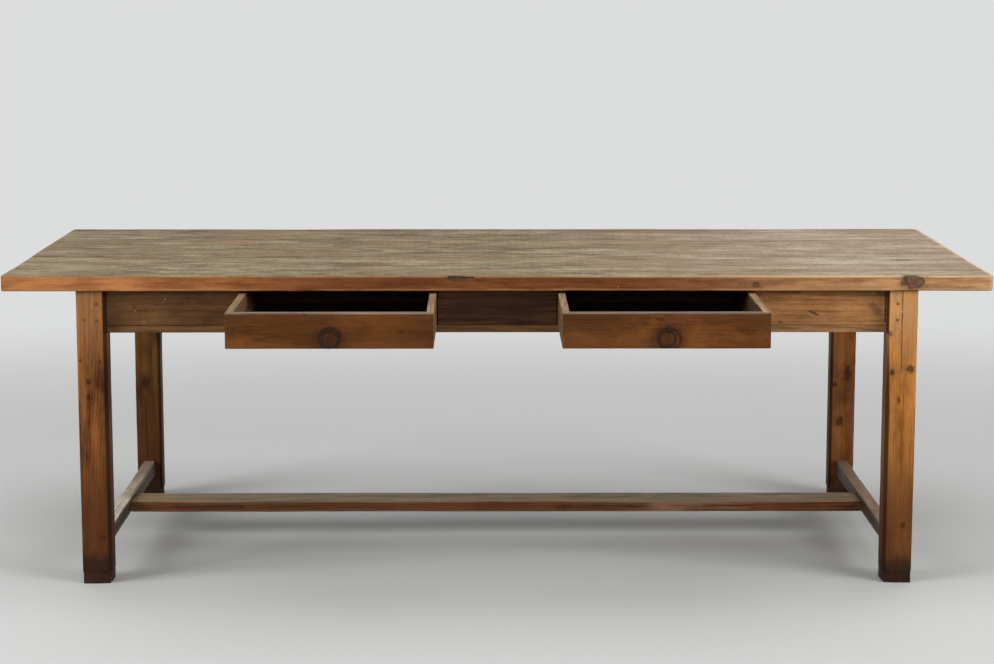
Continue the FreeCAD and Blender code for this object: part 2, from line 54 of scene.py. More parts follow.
# Sizes taken from the solids
leg_low, leg_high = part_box("front_right_leg")
leg_inner_x = leg_low.x
leg_outer_x = leg_high.x
front_leg_face = leg_low.y
back_leg_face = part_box("back_left_leg")[0].y
underside = leg_high.z
apron_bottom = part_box("back_apron")[0].z
apron_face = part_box("front_apron_left")[0].y
rail_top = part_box("front_rail")[1].z
plank_names = ("front_plank", "second_plank", "middle_plank", "fourth_plank", "back_plank")
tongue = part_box("front_plank")[1].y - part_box("second_plank")[0].y
seams = [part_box(name)[0].y for name in plank_names[1:]]
top_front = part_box("front_plank")[0].y
top_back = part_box("back_plank")[1].y
top_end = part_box("front_plank")[1].x
top_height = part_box("front_plank")[1].z
long_stretcher_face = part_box("long_stretcher")[0].y
long_stretcher_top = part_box("long_stretcher")[1].z
end_stretcher_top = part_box("left_end_stretcher")[1].z
drawer_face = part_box("left_drawer_front")[0].y
drawer_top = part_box("left_drawer_front")[1].z

# How the boards are worn: rows of cells in a worn edge, and the size of the other cells
edge_rows = 4
board_step = 0.022
# The rubbed band beside an edge, for its rounding, and how far one board's pattern lies from the next one's
rubbed_reach = 2.5
seed_shift = (3.1, 1.7, 2.3)
# The share of its wander that a board loses on each side, and how far it reaches into its neighbour
wander_slack = 0.35
tuck = 0.004
tiny = 1e-6
leg_wear = 0.005
leg_edge = 0.0025
leg_chamfer = 0.0085
# Heights between which a corner's chamfer runs out, and the share of it that is left above them
no_run_out = (9.0, 10.0)
leg_run_out = (apron_bottom - 0.2, apron_bottom)
run_out_rest = 0.3

# Pegs and rings
peg_head = 0.006
peg_taper = 0.12
peg_dome = 0.16
knife_cuts = 260.0
knife_depth = 0.0009
most_turn = 6.2
peg_seed = 7
hammer_marks = 150.0
hammer_depth = 0.16
ring_drop = 0.021
ring_swell = 0.0007

# How often a pattern repeats in a metre, along the grain and across it
streak_rate = (3.6, 75)
broad_rate = (1.5, 17)
blotch_rate = (6, 13)
fibre_rate = (16, 460)
dent_rate = (26, 62)
swell_rate = (1.1, 4)
patch_rate = (3.4, 11)
spot_rate = (4.2, 13)
fleck_rate = (13, 34)
dash_rate = (11, 60)
ruddy_rate = (2.4, 6)
short_streaks = 1.9

# How strongly the streaks, blotches, fibres and growth rings of a wood show
plain_figure = (1.9, 1.5, 0.8, 0.35)
leg_figure = (1.2, 2.6, 0.8, 0.15)
foot_figure = (0.9, 2.2, 0.8, 0.1)
apron_figure = (1.3, 2.3, 0.9, 0.15)
scuffed_figure = (1.3, 1.8, 0.8, 0.35)
drawer_front_figure = (0.6, 3.2, 0.9, 0.08)
drawer_side_figure = (2.6, 1.5, 0.8, 0.35)
end_grain_figure = (1.0, 1.8, 1.6, 0.8)
ramp_places = (0.05, 0.5, 0.95)

# Colours as they look on a screen, from 0 to 255
pale_chip = (186, 172, 152)
dark_nick = (44, 28, 18)
black_crack = (28, 17, 11)
edge_crack = (40, 28, 20)
sawn_brown = (104, 72, 44)
hidden_brown = (122, 92, 62)
# The beige tones at the right of the top are partly its own tone and partly painted sheen.
olive_tones = ((172, 156, 124), (130, 114, 85), (80, 62, 41))
beige_tones = ((206, 189, 165), (169, 149, 126), (114, 90, 69))

# Floor and light
backdrop_colour = (0.715, 0.725, 0.722, 1.0)
sky_light = 0.33
floor_haze = 0.25
floor_radius = 80.0
floor_seen = (0.68, 0.685, 0.675)
floor_bounce = (0.26, 0.26, 0.25)
fade_from = 1.6
fade_to = 4.2
fade_stretch = 0.35
# Each lamp's place, the place that it aims at, its width and height, and its power
lamps = {
    "left_window": ((-6.4, -3.4, 3.2), (0.0, 0.0, 0.5), (3.6, 3.0), 300),
    "right_window": ((6.0, -4.2, 3.2), (0.3, 0.0, 0.5), (3.6, 3.0), 260),
    "overhead": ((0.3, -0.4, 4.2), (0.3, 0.0, 0.5), (5.0, 3.0), 70),
    "front_fill": ((0.2, -7.4, 2.6), (0.0, 0.0, 0.5), (3.5, 2.5), 60),
    "back_left": ((-5.0, 5.6, 3.4), (0.0, 0.0, 0.5), (3.0, 2.5), 45),
    "back_right": ((5.0, 5.6, 3.4), (0.0, 0.0, 0.5), (3.0, 2.5), 45),
}

# Camera
photo_width = 994
focal_pixels = 2388.5
sensor_width = 36.0
camera_place = (-0.02889, -6.2671, 1.51662)
camera_pitch = 8.757
camera_turn = -0.279


def maths(operation, swapped=False):
    """A method that adds a Math node; swapped puts the other value first."""
    def method(wire, *others):
        values = (*others, wire) if swapped else (wire, *others)
        return wire.nodes.add("ShaderNodeMath", dict(enumerate(values)), operation=operation)
    return method


class Wire:
    """A socket in a node tree. Operators on it add the Math nodes that they stand for."""

    def __init__(self, nodes, socket):
        self.nodes = nodes
        self.socket = socket

    __add__ = maths("ADD")
    __radd__ = maths("ADD", True)
    __sub__ = maths("SUBTRACT")
    __rsub__ = maths("SUBTRACT", True)
    __mul__ = maths("MULTIPLY")
    __rmul__ = maths("MULTIPLY", True)
    __truediv__ = maths("DIVIDE")
    __rtruediv__ = maths("DIVIDE", True)
    __abs__ = maths("ABSOLUTE")
    least = maths("MINIMUM")
    most = maths("MAXIMUM")
    sign = maths("SIGN")
    root = maths("SQRT")
    fraction = maths("FRACT")

    def sway(self, size):
        """A value from 0 to 1 turned into a sway of this size about nought."""
        return (self - 0.5) * size

    def step(self, low, high):
        """A smooth step from 0 where the value is low to 1 where it is high; low may be the larger one."""
        sockets = {"Value": self, "From Min": low, "From Max": high}
        return self.nodes.add("ShaderNodeMapRange", sockets, interpolation_type="SMOOTHSTEP")

    def parts(self):
        """The three numbers of a vector."""
        split = self.nodes.add("ShaderNodeSeparateXYZ", {0: self})
        return [Wire(self.nodes, socket) for socket in split.socket.node.outputs]


class Nodes:
    """A node tree being built."""

    def __init__(self, tree):
        self.tree = tree

    def add(self, kind, sockets=None, out=0, **settings):
        """A node of any kind: its settings are set first, then the values or links of its sockets."""
        node = self.tree.nodes.new(kind)
        for name, value in settings.items():
            setattr(node, name, value)
        for key, value in (sockets or {}).items():
            if isinstance(value, Wire):
                self.tree.links.new(value.socket, node.inputs[key])
            else:
                node.inputs[key].default_value = value
        return Wire(self, node.outputs[out]) if node.outputs else None

    def vector(self, x, y, z):
        return self.add("ShaderNodeCombineXYZ", {0: x, 1: y, 2: z})

    def vectors(self, operation, first, second=(0.0, 0.0, 0.0), out="Vector"):
        """Maths with whole vectors; out is Value where the result is one number."""
        return self.add("ShaderNodeVectorMath", {0: first, 1: second}, out, operation=operation)

    def scaled(self, vector, share):
        return self.add("ShaderNodeVectorMath", {0: vector, "Scale": share}, operation="SCALE")

    def noise(self, place, scale=1.0, detail=2.0, roughness=0.5, out=0):
        sockets = {"Vector": place, "Scale": scale, "Detail": detail, "Roughness": roughness}
        return self.add("ShaderNodeTexNoise", sockets, out)

    def cells(self, place):
        """Scattered spots: how far the nearest one is, and three random numbers that belong to it."""
        far = self.add("ShaderNodeTexVoronoi", {"Vector": place})
        return far, Wire(self, far.socket.node.outputs["Color"]).parts()

    def ramp(self, value, colours):
        """The first colour where the value is low, the last one where it is high."""
        ramp = self.add("ShaderNodeValToRGB", {0: value})
        elements = ramp.socket.node.color_ramp.elements
        elements.new(1.0)
        for element, place, colour in zip(elements, ramp_places, colours):
            element.position = place
            element.color = (*colour, 1.0)
        return ramp

    def mix(self, share, first, second, way="MIX"):
        """Two colours mixed; way is how the second is laid over the first."""
        colours = [(*c, 1.0) if isinstance(c, tuple) else c for c in (first, second)]
        sockets = {0: share, 6: colours[0], 7: colours[1]}
        return self.add("ShaderNodeMix", sockets, 2, data_type="RGBA", blend_type=way)

    def attribute(self, name):
        return self.add("ShaderNodeAttribute", out="Fac", attribute_name=name)


def emptied(owner):
    """The node tree of a material or a world, cleared so that it can be built."""
    owner.use_nodes = True
    owner.node_tree.nodes.clear()
    return Nodes(owner.node_tree)


def add_object(name, data):
    """A new object in the scene."""
    obj = bpy.data.objects.new(name, data)
    bpy.context.scene.collection.objects.link(obj)
    return obj


# The rules that shape the boards, the pegs and the rings

def shape_tree(name, kinds):
    """A geometry tree with named inputs: its nodes, the wires of the inputs, and the keys to set them by."""
    tree = bpy.data.node_groups.new(name, "GeometryNodeTree")
    keys = {}
    for kind, labels in kinds.items():
        for label in labels:
            socket = tree.interface.new_socket(label, in_out="INPUT", socket_type="NodeSocket" + kind)
            keys[label] = socket.identifier
    tree.interface.new_socket("Geometry", in_out="OUTPUT", socket_type="NodeSocketGeometry")
    nodes = Nodes(tree)
    first = nodes.add("NodeGroupInput")
    given = {socket.name: Wire(nodes, socket) for socket in first.socket.node.outputs if socket.name}
    return nodes, given, keys


def end_tree(nodes, shaped, finish, smooth=True):
    """The end of a geometry tree: one real mesh with its finish."""
    shaped = nodes.add("GeometryNodeSetShadeSmooth", {"Geometry": shaped, "Shade Smooth": smooth})
    shaped = nodes.add("GeometryNodeRealizeInstances", {0: shaped})
    shaped = nodes.add("GeometryNodeSetMaterial", {"Geometry": shaped, "Material": finish})
    nodes.add("NodeGroupOutput", {"Geometry": shaped})
    return nodes.tree


def board_tree():
    """A sawn block whose edges are worn round, unevenly, and whose faces wander a little."""
    nodes, given, keys = shape_tree("worn_board", {
        "Vector": ("Size", "Centre", "Wander"), "Int": ("Cells X", "Cells Y", "Cells Z"),
        "Float": ("Round", "Least Round", "Wear Length", "Wander Length", "Outer Way", "Left Corner",
                  "Right Corner", "Flat Corners", "Run Out From", "Run Out To", "Edge Loss", "Seed"),
        "Material": ("Finish",)})
    counts = [given["Cells " + axis] for axis in "XYZ"]
    vertices = {"Vertices " + axis: count + 1 for axis, count in zip("XYZ", counts)}
    shaped = nodes.add("GeometryNodeMeshCube", {"Size": (1, 1, 1), **vertices})
    # Rows of cells crowd into the worn edges, and the rest are spread evenly.
    halves = [part * 0.5 for part in given["Size"].parts()]
    spread, gaps = [], []
    for part, half, count in zip(nodes.add("GeometryNodeInputPosition").parts(), halves, counts):
        from_end = (0.5 - abs(part)) * count
        in_edge = from_end.least(edge_rows) / edge_rows * given["Round"]
        past_edge = (from_end - edge_rows).most(0) / (count * 0.5 - edge_rows)
        gap = in_edge + past_edge * (half - given["Round"])
        gaps.append(gap)
        spread.append(part.sign() * (half - gap))
    # On a face the nearest side is the face itself, so the second nearest gives the way to an edge.
    a, b, c = gaps
    to_edge = a.least(b).most(a.most(b).least(c))
    wear = to_edge.step(given["Round"] * rubbed_reach, 0.0)
    for name, value in (("wear", wear), ("seed", given["Seed"])):
        shaped = nodes.add("GeometryNodeStoreNamedAttribute", {
            "Geometry": shaped, "Name": name, "Value": value}, data_type="FLOAT", domain="POINT")
    shaped = nodes.add("GeometryNodeSetPosition", {"Geometry": shaped, "Position": nodes.vector(*spread)})
    # The radius of an edge changes along it.
    place = nodes.add("GeometryNodeInputPosition")
    near = nodes.vectors("ADD", nodes.vectors("ADD", place, given["Centre"]),
                         nodes.scaled(seed_shift, given["Seed"]))
    uneven = nodes.noise(near, 1 / given["Wear Length"], 3.0, 0.6).step(0.3, 0.7)
    radius = given["Round"] * (given["Least Round"] + (1 - given["Least Round"]) * uneven)
    core = [part.most(radius - half).least(half - radius) for part, half in zip(place.parts(), halves)]
    core = nodes.vector(*core)
    outward = nodes.vectors("NORMALIZE", nodes.vectors("SUBTRACT", place, core))
    x, y, z = nodes.vectors("ADD", core, nodes.scaled(outward, radius)).parts()
    # In plan, the corners at the outer edge are worn round or cut flat.
    corner = given["Left Corner"] + (given["Right Corner"] - given["Left Corner"]) * x.step(-0.001, 0.001)
    full = (z + given["Centre"].parts()[2]).step(given["Run Out To"], given["Run Out From"])
    corner = corner * (run_out_rest + (1 - run_out_rest) * full)
    outer_y = y * given["Outer Way"]
    past_x = (abs(x) - halves[0] + corner).most(0.0)
    past_y = (outer_y - halves[1] + corner).most(0.0)
    round_size = (past_x * past_x + past_y * past_y).root()
    flat_size = past_x + past_y
    round_share = 1 - past_x.most(past_y) / round_size.most(tiny)
    flat_share = 1 - corner / flat_size.most(corner).most(tiny)
    pull = round_share + (flat_share - round_share) * given["Flat Corners"]
    pull = pull * past_x.sign() * past_y.sign()
    # The outer edge has lost a little wood.
    loss = nodes.noise(nodes.vector(near.parts()[0], given["Seed"], 0.0), 1 / given["Wander Length"], 2.0)
    loss = (loss - 0.3).most(0.0) * given["Edge Loss"] * outer_y.step(0.0, halves[1])
    rounded = nodes.vector(x - x.sign() * past_x * pull, y - given["Outer Way"] * (past_y * pull + loss), z)
    drift = nodes.noise(near, 1 / given["Wander Length"], 2.0, 0.5, "Color")
    drift = nodes.vectors("MULTIPLY", nodes.vectors("SUBTRACT", drift, (0.5, 0.5, 0.5)), given["Wander"])
    rounded = nodes.vectors("ADD", nodes.vectors("ADD", rounded, given["Centre"]), drift)
    shaped = nodes.add("GeometryNodeSetPosition", {"Geometry": shaped, "Position": rounded})
    return end_tree(nodes, shaped, given["Finish"]), keys


def peg_tree():
    """Pegs cut with a knife, one at each point, each pointing the way that its point faces."""
    nodes, given, keys = shape_tree("whittled_pegs", {
        "Geometry": ("Points",), "Float": ("Radius", "Length"), "Int": ("Seed",), "Material": ("Finish",)})
    peg = nodes.add("GeometryNodeMeshCylinder", {
        "Vertices": 10, "Side Segments": 14, "Fill Segments": 3, "Radius": given["Radius"],
        "Depth": given["Length"]}, fill_type="TRIANGLE_FAN")
    x, y, z = nodes.add("GeometryNodeInputPosition").parts()
    half = given["Length"] * 0.5
    head = z.step(half - peg_head, half)
    middle = 1 - (x * x + y * y).root() / given["Radius"]
    narrow = 1 - head * peg_taper
    shape = nodes.vector(x * narrow, y * narrow, z + middle * head * given["Radius"] * peg_dome)
    peg = nodes.add("GeometryNodeSetPosition", {"Geometry": peg, "Position": shape})
    facing = nodes.add("GeometryNodeInputNamedAttribute", {"Name": "facing"}, data_type="FLOAT_VECTOR")
    turned = nodes.add("FunctionNodeAlignRotationToVector", {"Vector": facing}, axis="Z")
    pegs = nodes.add("GeometryNodeInstanceOnPoints", {
        "Points": given["Points"], "Instance": peg, "Rotation": turned})
    turn = nodes.add("FunctionNodeRandomValue", {
        2: 0.0, 3: most_turn, "Seed": given["Seed"]}, 1, data_type="FLOAT")
    pegs = nodes.add("GeometryNodeRotateInstances", {
        "Instances": pegs, "Rotation": nodes.vector(0.0, 0.0, turn)})
    pegs = nodes.add("GeometryNodeRealizeInstances", {0: pegs})
    cut = nodes.noise(nodes.add("GeometryNodeInputPosition"), knife_cuts, 1.0, 0.5, "Color")
    cut = nodes.scaled(nodes.vectors("SUBTRACT", cut, (0.5, 0.5, 0.5)), knife_depth)
    pegs = nodes.add("GeometryNodeSetPosition", {"Geometry": pegs, "Offset": cut})
    return end_tree(nodes, pegs, given["Finish"], False), keys


def ring_tree():
    """A forged ring: hammered flat in places, and thinned where it has hung in its eye."""
    nodes, given, keys = shape_tree("forged_ring", {
        "Vector": ("Centre", "Up"), "Float": ("Radius", "Wire", "Thin", "Seed"), "Material": ("Finish",)})
    path, wire = [nodes.add("GeometryNodeCurvePrimitiveCircle", {"Resolution": count, "Radius": given[label]})
                  for count, label in ((96, "Radius"), (18, "Wire"))]
    ring = nodes.add("GeometryNodeCurveToMesh", {"Curve": path, "Profile Curve": wire})
    place = nodes.add("GeometryNodeInputPosition")
    x, y, z = place.parts()
    near = nodes.vectors("ADD", place, nodes.vector(given["Seed"], given["Seed"] * 2, 0.0))
    hammered = nodes.noise(near, hammer_marks, 2.0).step(0.35, 0.75) * hammer_depth
    up_x, up_y, up_z = given["Up"].parts()
    thinned = (x * up_x + y * up_z).step(given["Radius"] * 0.35, given["Radius"] * 0.85) * given["Thin"]
    inward = nodes.scaled(nodes.add("GeometryNodeInputNormal"), (hammered + thinned) * given["Wire"] * -1)
    ring = nodes.add("GeometryNodeSetPosition", {"Geometry": ring, "Offset": inward})
    ring = nodes.add("GeometryNodeTransform", {
        "Geometry": ring, "Translation": given["Centre"], "Rotation": (math.pi / 2, 0.0, 0.0)})
    return end_tree(nodes, ring, given["Finish"]), keys


def plain_mesh(name, rule, inputs, points=()):
    """What a geometry tree makes from these inputs, as a plain mesh.

    rule is the tree and the keys of its inputs, and a point is a place and the way it faces."""
    tree, keys = rule
    start = bpy.data.meshes.new(name)
    start.from_pydata([place for place, facing in points], [], [])
    facings = start.attributes.new("facing", "FLOAT_VECTOR", "POINT")
    facings.data.foreach_set("vector", [value for place, facing in points for value in facing])
    holder = add_object(name, start)
    modifier = holder.modifiers.new("shape", "NODES")
    modifier.node_group = tree
    for key, value in inputs.items():
        modifier[keys[key]] = value
    shown = holder.evaluated_get(bpy.context.evaluated_depsgraph_get())
    mesh = bpy.data.meshes.new_from_object(shown)
    bpy.data.objects.remove(holder)
    mesh.name = name
    return mesh


worn_board = board_tree()
whittled_pegs = peg_tree()
forged_ring = ring_tree()


def board_mesh(name, low, high, finish, seed, rounding=0.003, least=0.35, wear_length=0.05,
               wander=(0.001, 0.001, 0.001), wander_length=0.35, step=board_step, outer_way=1.0,
               corners=(0.0, 0.0), flat_corners=0.0, run_out=no_run_out, edge_loss=0.0):
    """A worn board between two corners, kept inside them.

    outer_way is 1 if its outer edge is at the back, and -1 if it is at the front."""
    low, high = Vector(low), Vector(high)
    size = high - low - Vector(wander) * wander_slack * 2
    cells = [max(2 * edge_rows + 2, round(length / step)) for length in size]
    return plain_mesh(name, worn_board, {
        "Size": size, "Centre": (low + high) / 2, "Cells X": cells[0], "Cells Y": cells[1],
        "Cells Z": cells[2], "Round": rounding, "Least Round": least, "Wear Length": wear_length,
        "Wander": Vector(wander), "Wander Length": wander_length, "Outer Way": outer_way,
        "Left Corner": corners[0], "Right Corner": corners[1], "Flat Corners": flat_corners,
        "Run Out From": run_out[0], "Run Out To": run_out[1], "Edge Loss": edge_loss, "Seed": seed,
        "Finish": finish})


def joined_mesh(name, meshes):
    """Several meshes of one finish as one mesh, with their wear and seeds kept."""
    work = bmesh.new()
    for mesh in meshes:
        work.from_mesh(mesh)
    whole = meshes[0].copy()
    whole.name = name
    work.to_mesh(whole)
    work.free()
    for mesh in meshes:
        bpy.data.meshes.remove(mesh)
    return whole


# Wood

def painted(colour):
    """A screen colour turned into the linear colour that a shader takes."""
    return tuple(((c / 255 + 0.055) / 1.055) ** 2.4 for c in colour)


def tones(colour, spread):
    """The pale, middle and dark tones of a wood around one screen colour; the dark one is redder."""
    middle = painted(colour)
    pale = tuple(c * (1 + 0.6 * spread) for c in middle)
    dark = tuple(c * (1 - 0.62 * spread) * warm for c, warm in zip(middle, (1.0, 0.92, 0.85)))
    return pale, middle, dark


def knots_on(face, knots):
    """Knots on an upright face: each one's x and z, its radius, and how long it is for its width."""
    return [((x, face, z), radius, stretch) for x, z, radius, stretch in knots]


def marks_on(face, marks):
    """Marks on an upright face: each one's x and z at both ends, its half width, tone and share."""
    return [((x, face, z), (end_x, face, end_z), *look) for x, z, end_x, end_z, *look in marks]


class Wood:
    """The pattern of a piece of old wood: growth rings, streaks, fibres, blotches, dents and knots."""

    def __init__(self, name, grain, ring=0.007, heart=(0.0, 0.4), knots=(), short=1.0):
        """grain is the axis that the fibres follow, ring the width of a growth ring, heart how far to the
        side the middle of the tree lies, and a knot is a place, a radius and how long it is for its width.
        short is above 1 where the streaks are short."""
        self.material = bpy.data.materials.new(name)
        nodes = self.nodes = emptied(self.material)
        self.place = nodes.add("ShaderNodeTexCoord", out="Object")
        self.x, self.y, self.z = self.place.parts()
        self.wear = nodes.attribute("wear")
        self.seed = nodes.attribute("seed")
        self.dull = 0.0
        along, first, second = {"X": (self.x, self.y, self.z), "Y": (self.y, self.x, self.z),
                                "Z": (self.z, self.x, self.y)}[grain]
        u, v, w = along + self.seed * 13.7, first + self.seed * 5.1, second + self.seed * 3.3

        def drawn_out(rate, share=1.0):
            return nodes.vector(u * (rate[0] * share), v * rate[1], w * rate[1])

        self.streak = nodes.noise(drawn_out(streak_rate, short), 1.0, 4.0, 0.62)
        self.broad = nodes.noise(drawn_out(broad_rate))
        self.blotch = nodes.noise(drawn_out(blotch_rate), 1.0, 4.0, 0.62)
        self.fibre = nodes.noise(drawn_out(fibre_rate), 1.0, 3.0, 0.6)
        self.ragged = nodes.noise(self.place, 110.0, 3.0, 0.6)
        dents, chance = nodes.cells(drawn_out(dent_rate))
        self.dent = (dents + self.ragged.sway(0.3)).step(0.34, 0.1) * chance[0].step(0.72, 0.78)
        # The heart of the tree lies elsewhere for each board, and it wanders along the board.
        wobble = nodes.noise(nodes.vector(u * 1.8, self.seed, v * 3))
        swell = nodes.noise(drawn_out(swell_rate), 1.0, 1.0)
        a = first - heart[0] - (self.seed * 37.7).fraction() * 0.1 + wobble.sway(0.05)
        b = second - heart[1] + (self.seed * 17.3).fraction() * 0.06 + swell.sway(0.1)
        rings = (a * a + b * b).root()
        self.knots = []
        for centre, radius, stretch in knots:
            squeeze = tuple(1 / stretch if axis == grain else 1.0 for axis in "XYZ")
            offset = nodes.vectors("MULTIPLY", nodes.vectors("SUBTRACT", self.place, centre), squeeze)
            far = nodes.vectors("LENGTH", offset, out="Value") / radius
            near = far.step(4.5, 0.0)
            rings = rings + near * near * radius * 1.6
            lumpy = nodes.noise(self.place, 0.8 / radius)
            self.knots.append(far + lumpy.sway(1.7) + self.ragged.sway(0.7))
        phase = (rings / ring + self.fibre.sway(0.25)).fraction()
        self.late = phase.step(0.35, 0.92) * phase.step(1.0, 0.93)

    def grained(self, colour, spread=1.0, figure=plain_figure):
        """The bare wood between its pale and dark tones around a screen colour."""
        streaks, blotches, fibres, rings = figure
        shade = 0.5 + self.streak.sway(streaks) + self.blotch.sway(blotches)
        shade = shade + self.fibre.sway(fibres) + (self.late - 0.35) * rings
        return self.nodes.ramp(shade, tones(colour, spread))

    def laid(self, colour, share, tone):
        """A screen colour laid over the colour so far, as thickly as its share."""
        return self.nodes.mix(share, colour, painted(tone))

    def knotted(self, colour, core, rim):
        """Knots laid into a colour: a darkened patch around each, its core, and a black line between them."""
        for far in self.knots:
            colour = self.laid(colour, far.step(2.4, 0.9) * 0.35, core)
            colour = self.laid(colour, far.step(1.2, 0.7) * 0.6, core)
            colour = self.laid(colour, abs(far - 0.85).step(0.45, 0.0) * 0.55, rim)
            colour = self.laid(colour, far.step(0.55, 0.1) * 0.45, rim)
        return colour

    def away(self, start, end):
        """How far a point lies from the line between two places."""
        nodes = self.nodes
        reach = tuple(b - a for a, b in zip(start, end))
        offset = nodes.vectors("SUBTRACT", self.place, start)
        share = nodes.vectors("DOT_PRODUCT", offset, reach, "Value") / sum(r * r for r in reach)
        foot = nodes.scaled(reach, share.most(0.0).least(1.0))
        return nodes.vectors("DISTANCE", offset, foot, "Value")

    def marked(self, colour, marks):
        """Scratches, cracks and spots: each a line between two places, its half width, tone and share."""
        for start, end, width, tone, share in marks:
            away = self.away(start, end) + self.ragged.sway(width * 1.6)
            colour = self.laid(colour, away.step(width, width * 0.35) * share, tone)
        return colour

    def finished(self, colour, roughness=0.5, depth=0.0008, shine=0.14):
        """The material: colour, uneven gloss, and raised grain with dents."""
        nodes = self.nodes
        height = self.streak * 0.6 + self.fibre * 0.3 + self.late * 0.3 - self.dent * 0.6
        bump = nodes.add("ShaderNodeBump", {"Strength": 1.0, "Distance": depth, "Height": height})
        gloss = roughness + self.streak.sway(0.35) + self.blotch.sway(0.3) + self.dull
        shader = nodes.add("ShaderNodeBsdfPrincipled", {
            "Base Color": colour, "Roughness": gloss, "Normal": bump, "Specular IOR Level": shine})
        nodes.add("ShaderNodeOutputMaterial", {"Surface": shader})
        return self.material


def timber(name, grain, colour, spread=1.0, ring=0.007, heart=(0.0, 0.4), knots=(), marks=(), overlay=None,
           rubbed=(150, 112, 74), rubbed_share=0.35, roughness=0.5, figure=plain_figure, shine=0.14):
    """Old waxed pine of one colour, dented, with rubbed edges; stain may lay more over it: real stains, and
    on some pieces painted shade and painted highlights.
    """
    wood = Wood(name, grain, ring, heart, knots)
    shade = wood.grained(colour, spread, figure)
    shade = wood.laid(shade, wood.dent * 0.55, (38, 24, 15))
    shade = wood.knotted(shade, (70, 36, 19), (32, 17, 10))
    if overlay:
        shade = overlay(wood, shade)
    shade = wood.marked(shade, marks)
    shade = wood.laid(shade, wood.wear * wood.streak.step(0.42, 0.58) * rubbed_share, rubbed)
    return wood.finished(shade, roughness, shine=shine)


def leg_finish(name, face, colour, knots=(), marks=(), bleached=0.35, low=0.82, spread=0.9,
               run_out=no_run_out):
    """Leg wood: bleached near the top, browner towards the floor, dark at the foot, with painted shade on the
    chamfered inner corner and the inner face, deepest beside the apron.
    """
    def overlay(wood, shade):
        height = wood.z + wood.blotch.sway(0.25)
        shade = wood.laid(shade, height.step(0.5, 0.72) * bleached, (206, 162, 114))
        shade = wood.laid(shade, height.step(0.44, 0.14) * low, (72, 37, 17))
        damp = wood.z + wood.streak.sway(0.05) + wood.blotch.sway(0.06)
        shade = wood.laid(shade, damp.step(0.085, 0.045) * 0.85, (44, 27, 18))
        # Painted shade: the inner face and the chamfer of the inner corner are darkened, most of all beside
        # the apron.
        inside = abs(wood.x) - leg_inner_x
        full = wood.z.step(run_out[1], run_out[0])
        width = leg_chamfer * (run_out_rest + (1 - run_out_rest) * full)
        cut = inside.step(width + 0.001, width - 0.002)
        flat = inside.step(0.0016, 0.0008)
        beside_apron = wood.z.step(apron_bottom - 0.012, apron_bottom + 0.004)
        wood.dull = cut * 0.4 - flat * 0.25
        dark = wood.nodes.mix(beside_apron, painted((42, 26, 15)), painted((24, 14, 8)))
        shade = wood.nodes.mix(cut * (0.8 - flat * 0.35).most(beside_apron * 0.92), shade, dark)
        outer = abs(wood.x).step(leg_outer_x - 0.004, leg_outer_x - 0.001)
        return wood.laid(shade, outer * wood.streak.step(0.4, 0.56) * 0.65, (46, 28, 17))
    return timber(name, "Z", colour, spread, ring=0.006, heart=(0.0, 0.55), knots=knots_on(face, knots),
                  marks=marks_on(face, marks), overlay=overlay, rubbed_share=0.0, roughness=0.48,
                  figure=leg_figure, shine=0.1)


def weathered_face(wood, rightness):
    """The top from above, mottled and flecked along the grain: olive at the left and beige at the right,
    where the paler tone is partly painted sheen.
    """
    nodes = wood.nodes
    u, v = wood.x + wood.seed * 11.3, wood.y + wood.seed * 4.7

    def drawn_out(rate, shift=0.0):
        return nodes.vector(u * rate[0] + shift, v * rate[1], 0.0)

    dashes, chance = nodes.cells(drawn_out(dash_rate))
    dash = (dashes + wood.streak.sway(0.9)).step(0.55, 0.2)
    patch = nodes.noise(drawn_out(patch_rate), 1.0, 4.0, 0.6)
    spot = nodes.noise(drawn_out(spot_rate, 7.7), 1.0, 4.0, 0.62)
    fleck = nodes.noise(drawn_out(fleck_rate), 1.0, 3.0, 0.6)
    ruddy = nodes.noise(drawn_out(ruddy_rate), 1.0, 3.0)
    shade = 0.5 + wood.streak.sway(0.5) + wood.broad.sway(0.4) + wood.fibre.sway(0.45)
    shade = shade + fleck.sway(1.4 - rightness * 0.5)
    shade = shade + (spot.sway(1.1) + patch.sway(1.6)) * (1 - rightness * 0.4)
    shade = shade - rightness * 0.06 + (wood.late - 0.35) * 0.1
    shade = shade + dash * chance[0].sway(0.8) + (wood.seed * 5.3).fraction().sway(0.15)
    shade = shade + wood.y.step(0.3, 0.5) * 0.22 + wood.y.step(-0.36, -0.5) * 0.2
    olive = nodes.ramp(shade, [painted(tone) for tone in olive_tones])
    beige = nodes.ramp(shade, [painted(tone) for tone in beige_tones])
    above = nodes.mix(rightness, olive, beige)
    above = wood.laid(above, ruddy.step(0.46, 0.64) * 0.45, (136, 107, 77))
    above = wood.laid(above, wood.broad.step(0.5, 0.66) * 0.35, (132, 97, 64))
    above = wood.laid(above, spot.step(0.56, 0.72) * 0.3, (122, 92, 66))
    above = wood.laid(above, dash * chance[1].step(0.86, 0.92) * 0.75, (74, 58, 42))
    above = wood.laid(above, dash * chance[2].step(0.9, 0.95) * 0.25, (206, 196, 176))
    for seam in seams:
        gap = abs(wood.y - seam + wood.broad.sway(0.004))
        above = wood.laid(above, gap.step(0.004, 0.0012) * wood.blotch.step(0.36, 0.52) * 0.75, (70, 56, 42))
    return above


def waxed_edge(wood):
    """The edges of the top: golden at both ends and brown between them, in pale and dark bands."""
    nodes = wood.nodes
    warm = nodes.mix(wood.x.step(0.25, 1.1), painted((122, 72, 38)), painted((196, 148, 102)))
    warm = wood.laid(warm, wood.x.step(-0.3, -1.0), (178, 118, 70))
    bands = 0.5 + wood.streak.sway(2.0) + wood.blotch.sway(2.2) + wood.fibre.sway(0.9)
    pale = nodes.mix(1.0, warm, (1.34, 1.32, 1.28), "MULTIPLY")
    dark = nodes.mix(1.0, warm, (0.66, 0.6, 0.56), "MULTIPLY")
    return nodes.mix(bands.step(0.0, 1.0), pale, dark)


